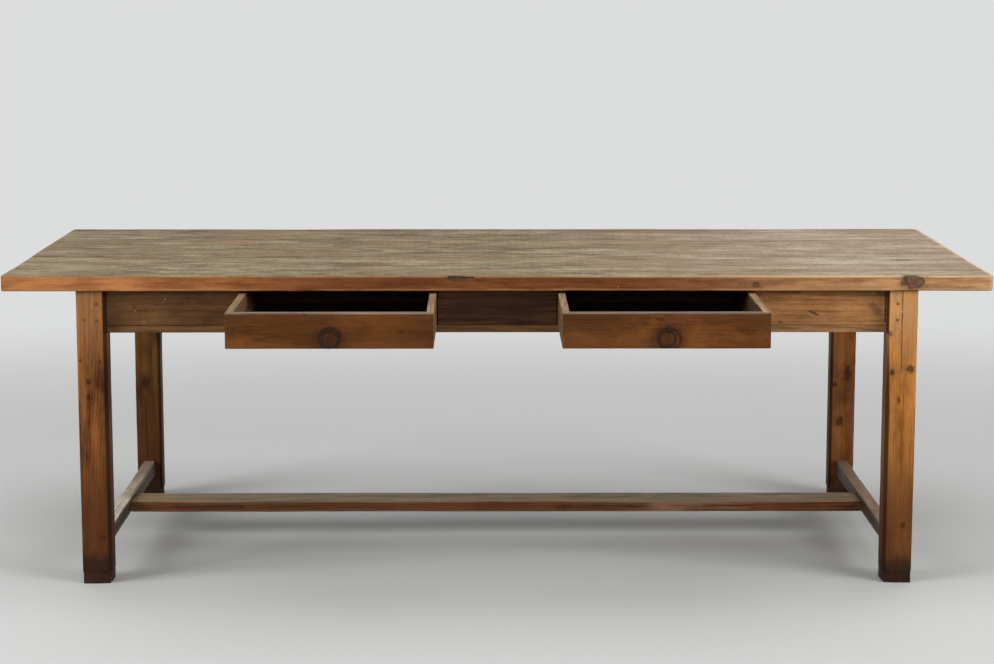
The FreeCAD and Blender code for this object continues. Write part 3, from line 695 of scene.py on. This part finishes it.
# Knots on the top, by x, y, radius and stretch, then the knots and the marks on its front edge
top_knots = [
    (-0.542, -0.017, 0.008, 2.0), (-0.202, 0.199, 0.011, 2.2), (-0.411, -0.267, 0.008, 2.4),
    (0.081, -0.004, 0.009, 2.4), (0.328, 0.293, 0.009, 2.0), (0.955, -0.046, 0.006, 2.0),
    (1.036, -0.21, 0.01, 2.2), (-0.791, -0.251, 0.008, 2.6)]
edge_knots = [(-0.1, 0.765, 0.007, 3.0), (1.011, 0.755, 0.019, 1.25), (0.628, 0.747, 0.006, 1.3)]
edge_marks = [
    (-0.118, 0.768, -0.058, 0.766, 0.0035, edge_crack, 0.9),
    (0.59, 0.748, 0.64, 0.742, 0.01, (96, 64, 44), 0.4),
    (-0.48, 0.738, -0.38, 0.746, 0.011, (112, 66, 36), 0.55),
    (0.292, 0.7395, 0.294, 0.743, 0.0022, (214, 170, 120), 0.5),
    (0.99, 0.766, 0.997, 0.74, 0.0024, edge_crack, 0.5),
    (1.005, 0.764, 1.001, 0.748, 0.002, (44, 32, 22), 0.45),
    (0.985, 0.769, 1.026, 0.768, 0.0022, (50, 38, 30), 0.5)]


def top_finish():
    """The top: grey weathered grain above, warm waxed wood on the edges, rough sawn wood below."""
    knots = [((x, y, top_height), radius, stretch) for x, y, radius, stretch in top_knots]
    knots = knots + knots_on(top_front, edge_knots)
    wood = Wood("weathered_top", "X", 0.01, (0.0, 0.6), knots, short_streaks)
    nodes = wood.nodes
    x, y, z = wood.x, wood.y, wood.z
    # Paler towards the right: partly the top's own tone, partly painted sheen.
    rightness = (x + wood.broad.sway(0.5)).step(-0.1, 0.9)
    outer = abs(x).step(top_end - 0.01, top_end - 0.004)
    outer = outer.most(y.step(top_front + 0.008, top_front + 0.003))
    outer = outer.most(y.step(top_back - 0.01, top_back - 0.004))
    on_edge = (z + wood.streak.sway(0.003)).step(top_height - 0.001, top_height - 0.0034) * outer
    colour = nodes.mix(on_edge, weathered_face(wood, rightness), waxed_edge(wood))
    # Painted highlight, partly a pale worn edge: a pale line along the upper rim of the edges, brighter
    # towards the right.
    rim = abs(z - top_height + 0.0025 + wood.streak.sway(0.004)).step(0.0036, 0.001) * outer
    rim_tone = nodes.mix(rightness, painted((176, 132, 88)), painted((226, 194, 146)))
    colour = nodes.mix(rim * (0.45 + rightness * 0.35), colour, rim_tone)
    colour = wood.laid(colour, wood.dent * 0.4, (70, 48, 32))
    colour = wood.knotted(colour, (92, 74, 58), (46, 34, 26))
    # A pale right end, partly worn end grain and partly a painted highlight.
    tip = x.step(top_end - 0.012, top_end - 0.004) * (0.4 + wood.blotch)
    colour = wood.laid(colour, tip * 0.5, (226, 204, 176))
    sawn = abs(x).step(top_end - 0.0032, top_end - 0.0014)
    colour = nodes.mix(sawn * 0.85, colour, wood.grained((146, 108, 72), 0.9, end_grain_figure))
    colour = wood.marked(colour, marks_on(top_front, edge_marks))
    low_rim = abs(z - underside - 0.0035 + wood.streak.sway(0.004)).step(0.0045, 0.001) * outer
    rim_tone = nodes.mix(rightness, painted((196, 136, 76)), painted((212, 160, 104)))
    colour = nodes.mix(low_rim * wood.blotch.step(0.4, 0.55) * 0.5, colour, rim_tone)
    below = z.step(underside + 0.0025, underside + 0.0005)
    colour = nodes.mix(below, colour, wood.grained((112, 84, 58)))
    return wood.finished(colour, 0.62, 0.0007)


def stretcher_finish(name, grain, top_z, colour, marks=(), top_tone=(142, 121, 90), bare=None):
    """Stretcher wood: scuffed pale and grey by feet on top, reddish brown at the sides; on the end stretchers
    the top is paler towards the front, partly as a painted highlight.

    bare is where along it the side is worn bare, from one x to another."""
    def overlay(wood, shade):
        if bare:
            worn = wood.x.step(bare[0], bare[0] + 0.06) * wood.x.step(bare[1], bare[1] - 0.06)
            worn = worn * (wood.streak * 0.7 + wood.blotch * 0.5).step(0.52, 0.68)
            shade = wood.laid(shade, worn * 0.75, (168, 124, 96))
        top_face = (wood.z + wood.streak.sway(0.006)).step(top_z - 0.0048, top_z - 0.0016)
        pale = wood.grained(top_tone, 0.65, scuffed_figure)
        # On the end stretchers, a painted highlight: the top is paler at the front and browner towards the
        # back.
        if grain == "Y":
            backness = (wood.y + wood.blotch.sway(0.3)).step(-0.2, 0.3)
            pale = wood.laid(pale, backness * 0.7, (128, 96, 72))
        return wood.nodes.mix(top_face * 0.92, shade, pale)
    return timber(name, grain, colour, ring=0.008, heart=(0.0, 0.5), overlay=overlay, marks=marks,
                  rubbed=(150, 124, 98), rubbed_share=0.45, roughness=0.55)


def drawer_front_finish(name, colour, eye, dark, marks):
    """Drawer front: blotchy wax, ochre and red, a pale rubbed top edge, a dark stain where the ring hangs,
    and a dark line hugging the ring, partly a rub mark and partly the ring's painted shadow.

    eye is the middle of the eye, and dark the two x between which the front darkens."""
    def overlay(wood, shade):
        shade = wood.laid(shade, wood.blotch.step(0.5, 0.64) * 0.45, (120, 70, 24))
        shade = wood.laid(shade, wood.broad.step(0.48, 0.68) * 0.4, (70, 36, 20))
        shade = wood.laid(shade, wood.x.step(*dark) * 0.3, (62, 36, 18))
        dx, dz = wood.x - eye.x, wood.z - eye.z + ring_drop
        near = (dx * dx + dz * dz).root() + wood.blotch.sway(0.03)
        shade = wood.laid(shade, near.step(0.06, 0.02) * 0.45, (56, 26, 17))
        # A dark line hugging the ring: partly a rub mark, partly the ring's painted shadow.
        shade = wood.laid(shade, abs(near - ring_drop).step(0.008, 0.002) * 0.6, (30, 17, 11))
        top = (wood.z + wood.streak.sway(0.003)).step(drawer_top - 0.0042, drawer_top - 0.0016)
        return wood.nodes.mix(top * 0.92, shade, wood.grained((128, 110, 94), 0.8))
    return timber(name, "X", colour, 1.2, ring=0.01, overlay=overlay, marks=marks_on(drawer_face, marks),
                  rubbed=(118, 84, 56), rubbed_share=0.3, roughness=0.48, figure=drawer_front_figure,
                  shine=0.1)


def drawer_side_tops_and_shade(wood, shade):
    """Drawer sides are striped and pale on top, and the one furthest right has painted shade on its inner
    face.
    """
    # Painted shade on the inner face of the side furthest right.
    shaded = wood.x.step(0.56, 0.6) * wood.x.step(0.625, 0.615)
    shade = wood.laid(shade, shaded * 0.75, (40, 27, 16))
    top = (wood.z + wood.streak.sway(0.002)).step(drawer_top - 0.003, drawer_top - 0.001)
    pale = wood.grained((150, 121, 87), 0.9, drawer_side_figure)
    pale = wood.laid(pale, wood.x.step(0.1, -0.1) * 0.35, (98, 76, 50))
    return wood.nodes.mix(top, shade, pale)


def rail_stain(wood, shade):
    """The rail is bleached at its right end, as the apron above it is."""
    return wood.nodes.mix(wood.x.step(0.45, 0.75) * 0.8, shade, wood.grained((168, 124, 82), 0.9))


def peg_stain(wood, shade):
    """The pegs of the bleached front right leg are as pale as the leg."""
    share = wood.x.step(0.9, 0.95) * wood.y.step(-0.4, -0.45) * 0.75
    return wood.nodes.mix(share, shade, wood.grained((168, 112, 62), 0.8))


def iron_finish():
    """Forged iron, dark and pitted, browned by rust."""
    material = bpy.data.materials.new("forged_iron")
    nodes = emptied(material)
    place = nodes.add("ShaderNodeTexCoord", out="Object")
    pits = nodes.noise(place, 240.0, 4.0, 0.65)
    rust = nodes.noise(place, 90.0, 3.0, 0.6)
    rusted = rust.step(0.42, 0.62)
    colour = nodes.mix(pits.step(0.35, 0.7), painted((15, 10, 7)), painted((58, 43, 29)))
    colour = nodes.mix(rusted * 0.8, colour, painted((38, 22, 13)))
    bump = nodes.add("ShaderNodeBump", {"Strength": 1.0, "Distance": 0.0008, "Height": pits})
    shader = nodes.add("ShaderNodeBsdfPrincipled", {
        "Base Color": colour, "Roughness": 0.42 + rust * 0.3, "Metallic": 0.3 - rusted * 0.25,
        "Normal": bump, "Specular IOR Level": 0.2})
    nodes.add("ShaderNodeOutputMaterial", {"Surface": shader})
    return material


# The finishes

leg_finishes = {
    "front_left": leg_finish(
        "front_left_leg_wood", front_leg_face, (136, 84, 43), bleached=0.24, spread=1.2,
        knots=[(-0.971, 0.556, 0.0035, 1.1), (-1.0, 0.507, 0.0045, 1.3), (-1.0, 0.47, 0.0035, 1.6),
               (-1.006, 0.66, 0.003, 1.2), (-1.018, 0.56, 0.0025, 1.2), (-0.969, 0.115, 0.005, 1.0)],
        marks=[(-0.985, 0.733, -0.986, 0.69, 0.003, (196, 152, 104), 0.4),
               (-0.972, 0.505, -0.973, 0.47, 0.002, (170, 112, 70), 0.4)]),
    "front_right": leg_finish(
        "front_right_leg_wood", front_leg_face, (198, 130, 64), bleached=0.55, spread=0.75,
        run_out=leg_run_out,
        knots=[(0.967, 0.529, 0.0055, 1.1), (1.009, 0.537, 0.008, 0.9), (0.96, 0.625, 0.0045, 1.2),
               (1.002, 0.145, 0.0045, 1.3), (0.984, 0.46, 0.003, 2.6)],
        marks=[(0.987, 0.734, 0.988, 0.53, 0.0022, (76, 44, 22), 0.7),
               (0.975, 0.45, 0.979, 0.43, 0.002, (96, 56, 26), 0.6),
               (0.972, 0.733, 0.97, 0.705, 0.005, (150, 132, 110), 0.5)]),
    "back_left": leg_finish(
        "back_left_leg_wood", back_leg_face, (112, 74, 37), bleached=0.1, low=0.65,
        knots=[(-0.996, 0.34, 0.011, 1.5)],
        marks=[(-0.996, 0.11, -0.998, 0.29, 0.0022, black_crack, 0.7)]),
    "back_right": leg_finish(
        "back_right_leg_wood", back_leg_face, (138, 87, 43), bleached=0.1, low=0.1,
        knots=[(1.004, 0.364, 0.008, 2.2), (0.967, 0.33, 0.005, 1.4), (0.983, 0.224, 0.009, 1.2)]),
}
top_wood = top_finish()
foot_wood = timber("foot_dark", "Z", (53, 34, 24), 0.7, ring=0.006, rubbed=(64, 43, 33), rubbed_share=0.2,
                   roughness=0.6, figure=foot_figure, shine=0.08)
apron_finishes = {
    "front_apron_left": timber(
        "apron_grey_brown", "X", (104, 70, 41), 0.9, figure=apron_figure, marks=marks_on(apron_face, [
            (-0.889, 0.688, -0.887, 0.685, 0.004, dark_nick, 0.5),
            (-0.846, 0.664, -0.836, 0.671, 0.0022, pale_chip, 0.12),
            (-0.813, 0.706, -0.811, 0.708, 0.0024, pale_chip, 0.55),
            (-0.886, 0.679, -0.884, 0.678, 0.0022, pale_chip, 0.45),
            (-0.871, 0.652, -0.862, 0.651, 0.0024, pale_chip, 0.2)])),
    # Very dark brown: partly its own tone, partly painted shade from the drawers on either side.
    "front_apron_centre": timber(
        "apron_dark", "X", (54, 27, 8), 0.9, figure=apron_figure,
        knots=knots_on(apron_face, [(-0.084, 0.66, 0.006, 1.4)])),
    "front_apron_right": timber(
        "apron_golden", "X", (162, 112, 67), 1.1, figure=apron_figure, marks=marks_on(apron_face, [
            (0.764, 0.677, 0.784, 0.668, 0.0032, black_crack, 0.85),
            (0.762, 0.67, 0.778, 0.662, 0.003, (170, 140, 112), 0.6),
            (0.69, 0.65, 0.696, 0.65, 0.003, dark_nick, 0.7),
            (0.919, 0.69, 0.931, 0.676, 0.014, (118, 78, 64), 0.6),
            (0.93, 0.722, 0.948, 0.716, 0.008, (96, 72, 54), 0.7),
            (0.951, 0.726, 0.951, 0.65, 0.0035, (30, 19, 12), 0.85),
            (0.944, 0.69, 0.946, 0.672, 0.0035, (186, 166, 142), 0.5),
            (0.943, 0.712, 0.946, 0.705, 0.003, (170, 148, 124), 0.45),
            (0.829, 0.708, 0.836, 0.706, 0.004, (190, 142, 96), 0.6),
            (0.66, 0.728, 0.74, 0.724, 0.006, (92, 58, 34), 0.6)])),
}
rail_wood = timber("rail_wood", "X", (114, 79, 47), 0.9, rubbed=(160, 124, 88), overlay=rail_stain)
plain_apron = timber("apron_brown", "X", sawn_brown)
end_apron = timber("apron_brown_end", "Y", sawn_brown)
long_stretcher_wood = stretcher_finish(
    "long_stretcher_wood", "X", long_stretcher_top, (96, 54, 26), bare=(0.38, 0.72),
    marks=marks_on(long_stretcher_face, [
        (0.35, 0.086, 0.374, 0.082, 0.006, (48, 26, 16), 0.8),
        (-0.86, 0.085, -0.68, 0.085, 0.009, (56, 32, 20), 0.6),
        (0.16, 0.082, 0.2, 0.084, 0.007, (52, 30, 18), 0.6)]))
end_stretcher_woods = {
    # The left end stretcher's top is nearly white: partly scuffed, partly a painted highlight.
    "left": stretcher_finish("left_end_stretcher_wood", "Y", end_stretcher_top, (64, 44, 30),
                             top_tone=(238, 226, 204)),
    "right": stretcher_finish("right_end_stretcher_wood", "Y", end_stretcher_top, (60, 42, 30),
                              top_tone=(158, 130, 104)),
}
drawer_side_wood = timber("drawer_side_wood", "Y", (104, 78, 48), 0.8, ring=0.004, overlay=drawer_side_tops_and_shade,
                          rubbed=(170, 144, 110), roughness=0.7)
# Dark as painted shade inside the drawers.
drawer_inside_wood = timber("drawer_inside_wood", "X", (58, 42, 28), 0.7, rubbed=(120, 96, 70), roughness=0.7)
hidden_x = timber("sawn_wood_x", "X", hidden_brown, roughness=0.75)
hidden_y = timber("sawn_wood_y", "Y", hidden_brown, roughness=0.75)
peg_wood = timber("peg_wood", "Z", (104, 64, 34), overlay=peg_stain, roughness=0.6)
iron = iron_finish()

# The boards

seeds = {name: (index * 0.37 + 0.11) % 1.0 for index, name in enumerate(sorted(frame["nodes"]))}
body_of = {node: body for body, nodes in frame["record"]["behaviour"]["bodies"].items() for node in nodes}
slot_of = {part["node"]: part["material_slot"] for part in frame["record"]["subparts"]}


def place_piece(name, mesh, node):
    """A finished piece that stands for a node and rides on its body."""
    piece = add_object(name, mesh)
    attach(piece, body_of[node])
    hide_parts(node)


def board(node, finish, low=None, high=None, seed=None, **wear):
    """A worn board in place of a node, between the node's own corners unless others are given."""
    node_low, node_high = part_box(node)
    low = node_low if low is None else low
    high = node_high if high is None else high
    seed = seeds[node] if seed is None else seed
    place_piece("worn_" + node, board_mesh("worn_" + node, low, high, finish, seed, **wear), node)


def middle_of(node):
    """The middle of a node's box."""
    low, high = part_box(node)
    return (low + high) / 2


plank_wear = {
    "front_plank": {"outer_way": -1.0, "corners": (0.008, 0.009), "edge_loss": 0.003, "step": 0.009,
                    "wander": (0.001, 0.001, 0.0006)},
    "back_plank": {"outer_way": 1.0, "corners": (0.01, 0.026), "edge_loss": 0.01, "step": 0.009,
                   "wander": (0.002, 0.001, 0.006), "wander_length": 0.8},
}
for name in plank_names:
    low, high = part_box(name)
    if name != plank_names[-1]:
        high.y -= tongue
    wear = {"rounding": 0.0045, "least": 0.3, "wear_length": 0.09, "wander": (0.002, 0.001, 0.003),
            "wander_length": 0.5, **plank_wear.get(name, {})}
    board(name, top_wood, low, high, **wear)

for row in rows:
    for side in sides:
        corner = row + "_" + side
        low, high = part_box(corner + "_leg")
        wear = {"seed": seeds[corner + "_leg"], "wander": (0.0012, 0.0012, 0.0), "wander_length": 0.22,
                "corners": (leg_chamfer, leg_edge) if side == "right" else (leg_edge, leg_chamfer),
                "outer_way": -1.0 if row == "front" else 1.0, "flat_corners": 1.0,
                "run_out": no_run_out if corner == "front_left" else leg_run_out}
        # The worn end of the leg is let into the foot, so that only a thin line shows between them.
        board(corner + "_leg", leg_finishes[corner], (low.x, low.y, low.z - leg_wear), high,
              rounding=leg_wear, step=0.014, **wear)
        board(corner + "_foot", foot_wood, rounding=0.0018, step=0.008, **wear)

# Boards between legs, or between stretchers, reach a little way into them.
reach = leg_inner_x + tuck
for name, finish in apron_finishes.items():
    low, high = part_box(name)
    board(name, finish, (max(low.x, -reach), low.y, rail_top), (min(high.x, reach), high.y, underside),
          rounding=0.002)
for name, finish in (("front_rail", rail_wood), ("back_apron", plain_apron)):
    low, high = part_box(name)
    board(name, finish, (-reach, low.y, low.z), (reach, high.y, high.z), rounding=0.0025)
reach = back_leg_face + tuck
for side in sides:
    end_boards = (("_end_apron", end_apron, 0.0025, (0.001, 0.0, 0.001)),
                  ("_end_stretcher", end_stretcher_woods[side], 0.006, (0.003, 0.0, 0.002)))
    for name, finish, rounding, wander in end_boards:
        low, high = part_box(side + name)
        board(side + name, finish, (low.x, -reach, low.z), (high.x, reach, high.z), rounding=rounding,
              wander=wander)
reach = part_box("right_end_stretcher")[0].x + tuck
low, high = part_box("long_stretcher")
board("long_stretcher", long_stretcher_wood, (-reach, low.y, low.z), (reach, high.y, high.z), rounding=0.005,
      least=0.3, wear_length=0.12, wander=(0.0, 0.007, 0.0016), wander_length=0.3)

drawer_fronts = {
    "left": {"colour": (98, 57, 22), "dark": (-0.42, -0.2), "marks": [
        (-0.232, 0.681, -0.214, 0.68, 0.003, dark_nick, 0.6),
        (-0.447, 0.7255, -0.439, 0.719, 0.0032, (40, 26, 18), 0.8)]},
    "right": {"colour": (104, 61, 25), "dark": (0.44, 0.24), "marks": [
        (0.366, 0.711, 0.378, 0.71, 0.0055, (44, 24, 15), 0.55),
        (0.33, 0.703, 0.345, 0.7, 0.0025, dark_nick, 0.5)]},
}
lap_depth = 0.002
for side, look in drawer_fronts.items():
    drawer = side + "_drawer_"
    front = drawer + "front"
    finish = drawer_front_finish(front + "_wood", eye=middle_of(drawer + "eye"), **look)
    # The front is cut back at both ends, and the sides lap into it.
    low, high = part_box(front)
    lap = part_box(drawer + "left_side")[0].y
    inner_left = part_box(drawer + "left_side")[1].x
    inner_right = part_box(drawer + "right_side")[0].x
    face = board_mesh("front_face", low, (high.x, lap, high.z), finish, seeds[front], rounding=0.0035,
                      least=0.3, wander=(0.0008, 0.0004, 0.0008))
    rear = board_mesh("front_rear", (inner_left, lap - lap_depth, low.z), (inner_right, high.y, high.z),
                      finish, seeds[front], rounding=0.0015, least=0.3, wander=(0.0, 0.0004, 0.0008))
    place_piece("worn_" + front, joined_mesh("worn_" + front, (face, rear)), front)
    for way in sides:
        board(drawer + way + "_side", drawer_side_wood, rounding=0.002, wander=(0.0006, 0.0, 0.0006))
    board(drawer + "back", drawer_inside_wood, rounding=0.0015, wander=(0.0, 0.0005, 0.0005))
    board(drawer + "bottom", drawer_inside_wood, rounding=0.001, wander=(0.0, 0.0, 0.0))

# The pegs


def solids_of(node):
    """The lowest and highest corner of each solid in a node."""
    work = bmesh.new()
    work.from_mesh(frame["nodes"][node].data)
    bmesh.ops.remove_doubles(work, verts=work.verts, dist=tiny)
    waiting = set(work.verts)
    boxes = []
    while waiting:
        solid, reached = [], [waiting.pop()]
        while reached:
            vert = reached.pop()
            solid.append(tuple(vert.co))
            beside = {edge.other_vert(vert) for edge in vert.link_edges} & waiting
            waiting -= beside
            reached.extend(beside)
        boxes.append((tuple(map(min, zip(*solid))), tuple(map(max, zip(*solid)))))
    work.free()
    return [(Vector(low), Vector(high)) for low, high in sorted(boxes)]


for name in ("apron_pegs", "stretcher_pegs"):
    groups = {}
    for low, high in solids_of(name):
        size, centre = high - low, (low + high) / 2
        axis = max(range(3), key=lambda i: size[i])
        facing = [0.0, 0.0, 0.0]
        facing[axis] = math.copysign(1.0, centre[axis])
        groups.setdefault((round(size[axis], 4), round(min(size), 4)), []).append((tuple(centre), facing))
    meshes = []
    for (length, width), points in sorted(groups.items()):
        inputs = {"Radius": width / 2, "Length": length, "Seed": peg_seed, "Finish": peg_wood}
        meshes.append(plain_mesh(name, whittled_pegs, inputs, points))
    place_piece("whittled_" + name, joined_mesh("whittled_" + name, meshes), name)

# The rings

for side in sides:
    node = side + "_drawer_ring"
    low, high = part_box(node)
    wire = (high.y - low.y) / 2
    centre = (low + high) / 2
    up = middle_of(side + "_drawer_eye") - centre
    up.y = 0.0
    up.normalize()
    # The ring is stouter than its node, but not in the eye, and no larger outside.
    mesh = plain_mesh("forged_" + node, forged_ring, {
        "Centre": centre + up * ring_swell, "Radius": (high.x - low.x) / 2 - wire - ring_swell,
        "Wire": wire + ring_swell, "Thin": ring_swell / (wire + ring_swell), "Up": up, "Seed": seeds[node],
        "Finish": iron})
    place_piece("forged_" + node, mesh, node)

# What steers the drawers and holds the planks together

batten_wear = {"rounding": 0.002, "wander": (0.001, 0.0, 0.0004)}
for side in sides:
    board(side + "_batten", hidden_y, **batten_wear)
    for way in sides:
        for kind in ("_runner", "_guide"):
            board(side + "_drawer_" + way + kind, hidden_y, rounding=0.0015, wander=(0.0005, 0.0, 0.0005))
board("centre_batten", hidden_y, **batten_wear)

# Nodes that keep their own shape

for name, obj in frame["nodes"].items():
    if obj.hide_render:
        continue
    low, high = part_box(name)
    finish = hidden_x if high.x - low.x > high.y - low.y else hidden_y
    finish = {"iron": iron, "peg_wood": peg_wood}.get(slot_of[name], finish)
    obj.data.materials.clear()
    obj.data.materials.append(finish)

# Floor, light and camera


def backdrop_share(nodes):
    """1 for rays that look at the backdrop, straight or by way of a shiny thing, and 0 for its own light."""
    rays = nodes.add("ShaderNodeLightPath").socket.node.outputs
    kinds = [Wire(nodes, rays[kind]) for kind in ("Is Camera Ray", "Is Glossy Ray", "Is Transmission Ray")]
    return kinds[0].most(kinds[1]).most(kinds[2])


def floor():
    """A pale floor that fades into the backdrop all round, and that is clear when looked at from below."""
    mesh = bpy.data.meshes.new("floor")
    work = bmesh.new()
    bmesh.ops.create_circle(work, cap_ends=True, radius=floor_radius, segments=96)
    work.to_mesh(mesh)
    work.free()
    material = bpy.data.materials.new("floor_paint")
    nodes = emptied(material)
    share = backdrop_share(nodes)
    x, y, z = nodes.add("ShaderNodeTexCoord", out="Object").parts()
    away = (x * x * fade_stretch + y * y).root()
    paint = nodes.add("ShaderNodeBsdfPrincipled", {
        "Base Color": nodes.mix(share, floor_bounce, floor_seen), "Roughness": 0.6,
        "Specular IOR Level": 0.2})
    haze = nodes.add("ShaderNodeEmission", {
        "Color": backdrop_colour, "Strength": floor_haze + share * (1 - floor_haze)})
    faded = nodes.add("ShaderNodeMixShader", {0: away.step(fade_from, fade_to), 1: paint, 2: haze})
    clear = nodes.add("ShaderNodeBsdfTransparent")
    below = nodes.add("ShaderNodeNewGeometry", out="Backfacing")
    nodes.add("ShaderNodeOutputMaterial", {
        "Surface": nodes.add("ShaderNodeMixShader", {0: below, 1: faded, 2: clear})})
    mesh.materials.append(material)
    obj = add_object("floor", mesh)


def lamp(name, place, aim, size, power):
    """A soft rectangular lamp that aims at a place."""
    light = bpy.data.lights.new(name, "AREA")
    light.shape = "RECTANGLE"
    light.size, light.size_y = size
    light.energy = power
    obj = add_object(name, light)
    obj.location = place
    obj.rotation_euler = (Vector(aim) - Vector(place)).to_track_quat("-Z", "Y").to_euler()


def studio():
    """The pale backdrop, and the lamps around the table."""
    scene = bpy.context.scene
    scene.view_settings.view_transform = "Standard"
    scene.world = bpy.data.worlds.new("studio")
    nodes = emptied(scene.world)
    strength = sky_light + backdrop_share(nodes) * (1 - sky_light)
    sky = nodes.add("ShaderNodeBackground", {"Color": backdrop_colour, "Strength": strength})
    nodes.add("ShaderNodeOutputWorld", {"Surface": sky})
    for name, settings in lamps.items():
        lamp(name, *settings)


def camera():
    """The camera that was fitted to the photograph."""
    lens = bpy.data.cameras.new("camera")
    lens.sensor_fit = "HORIZONTAL"
    lens.sensor_width = sensor_width
    lens.lens = focal_pixels * sensor_width / photo_width
    obj = add_object("camera", lens)
    obj.location = camera_place
    obj.rotation_euler = (math.radians(90 - camera_pitch), 0.0, math.radians(camera_turn))
    bpy.context.scene.camera = obj


floor()
studio()
camera()

bpy.context.view_layer.update()
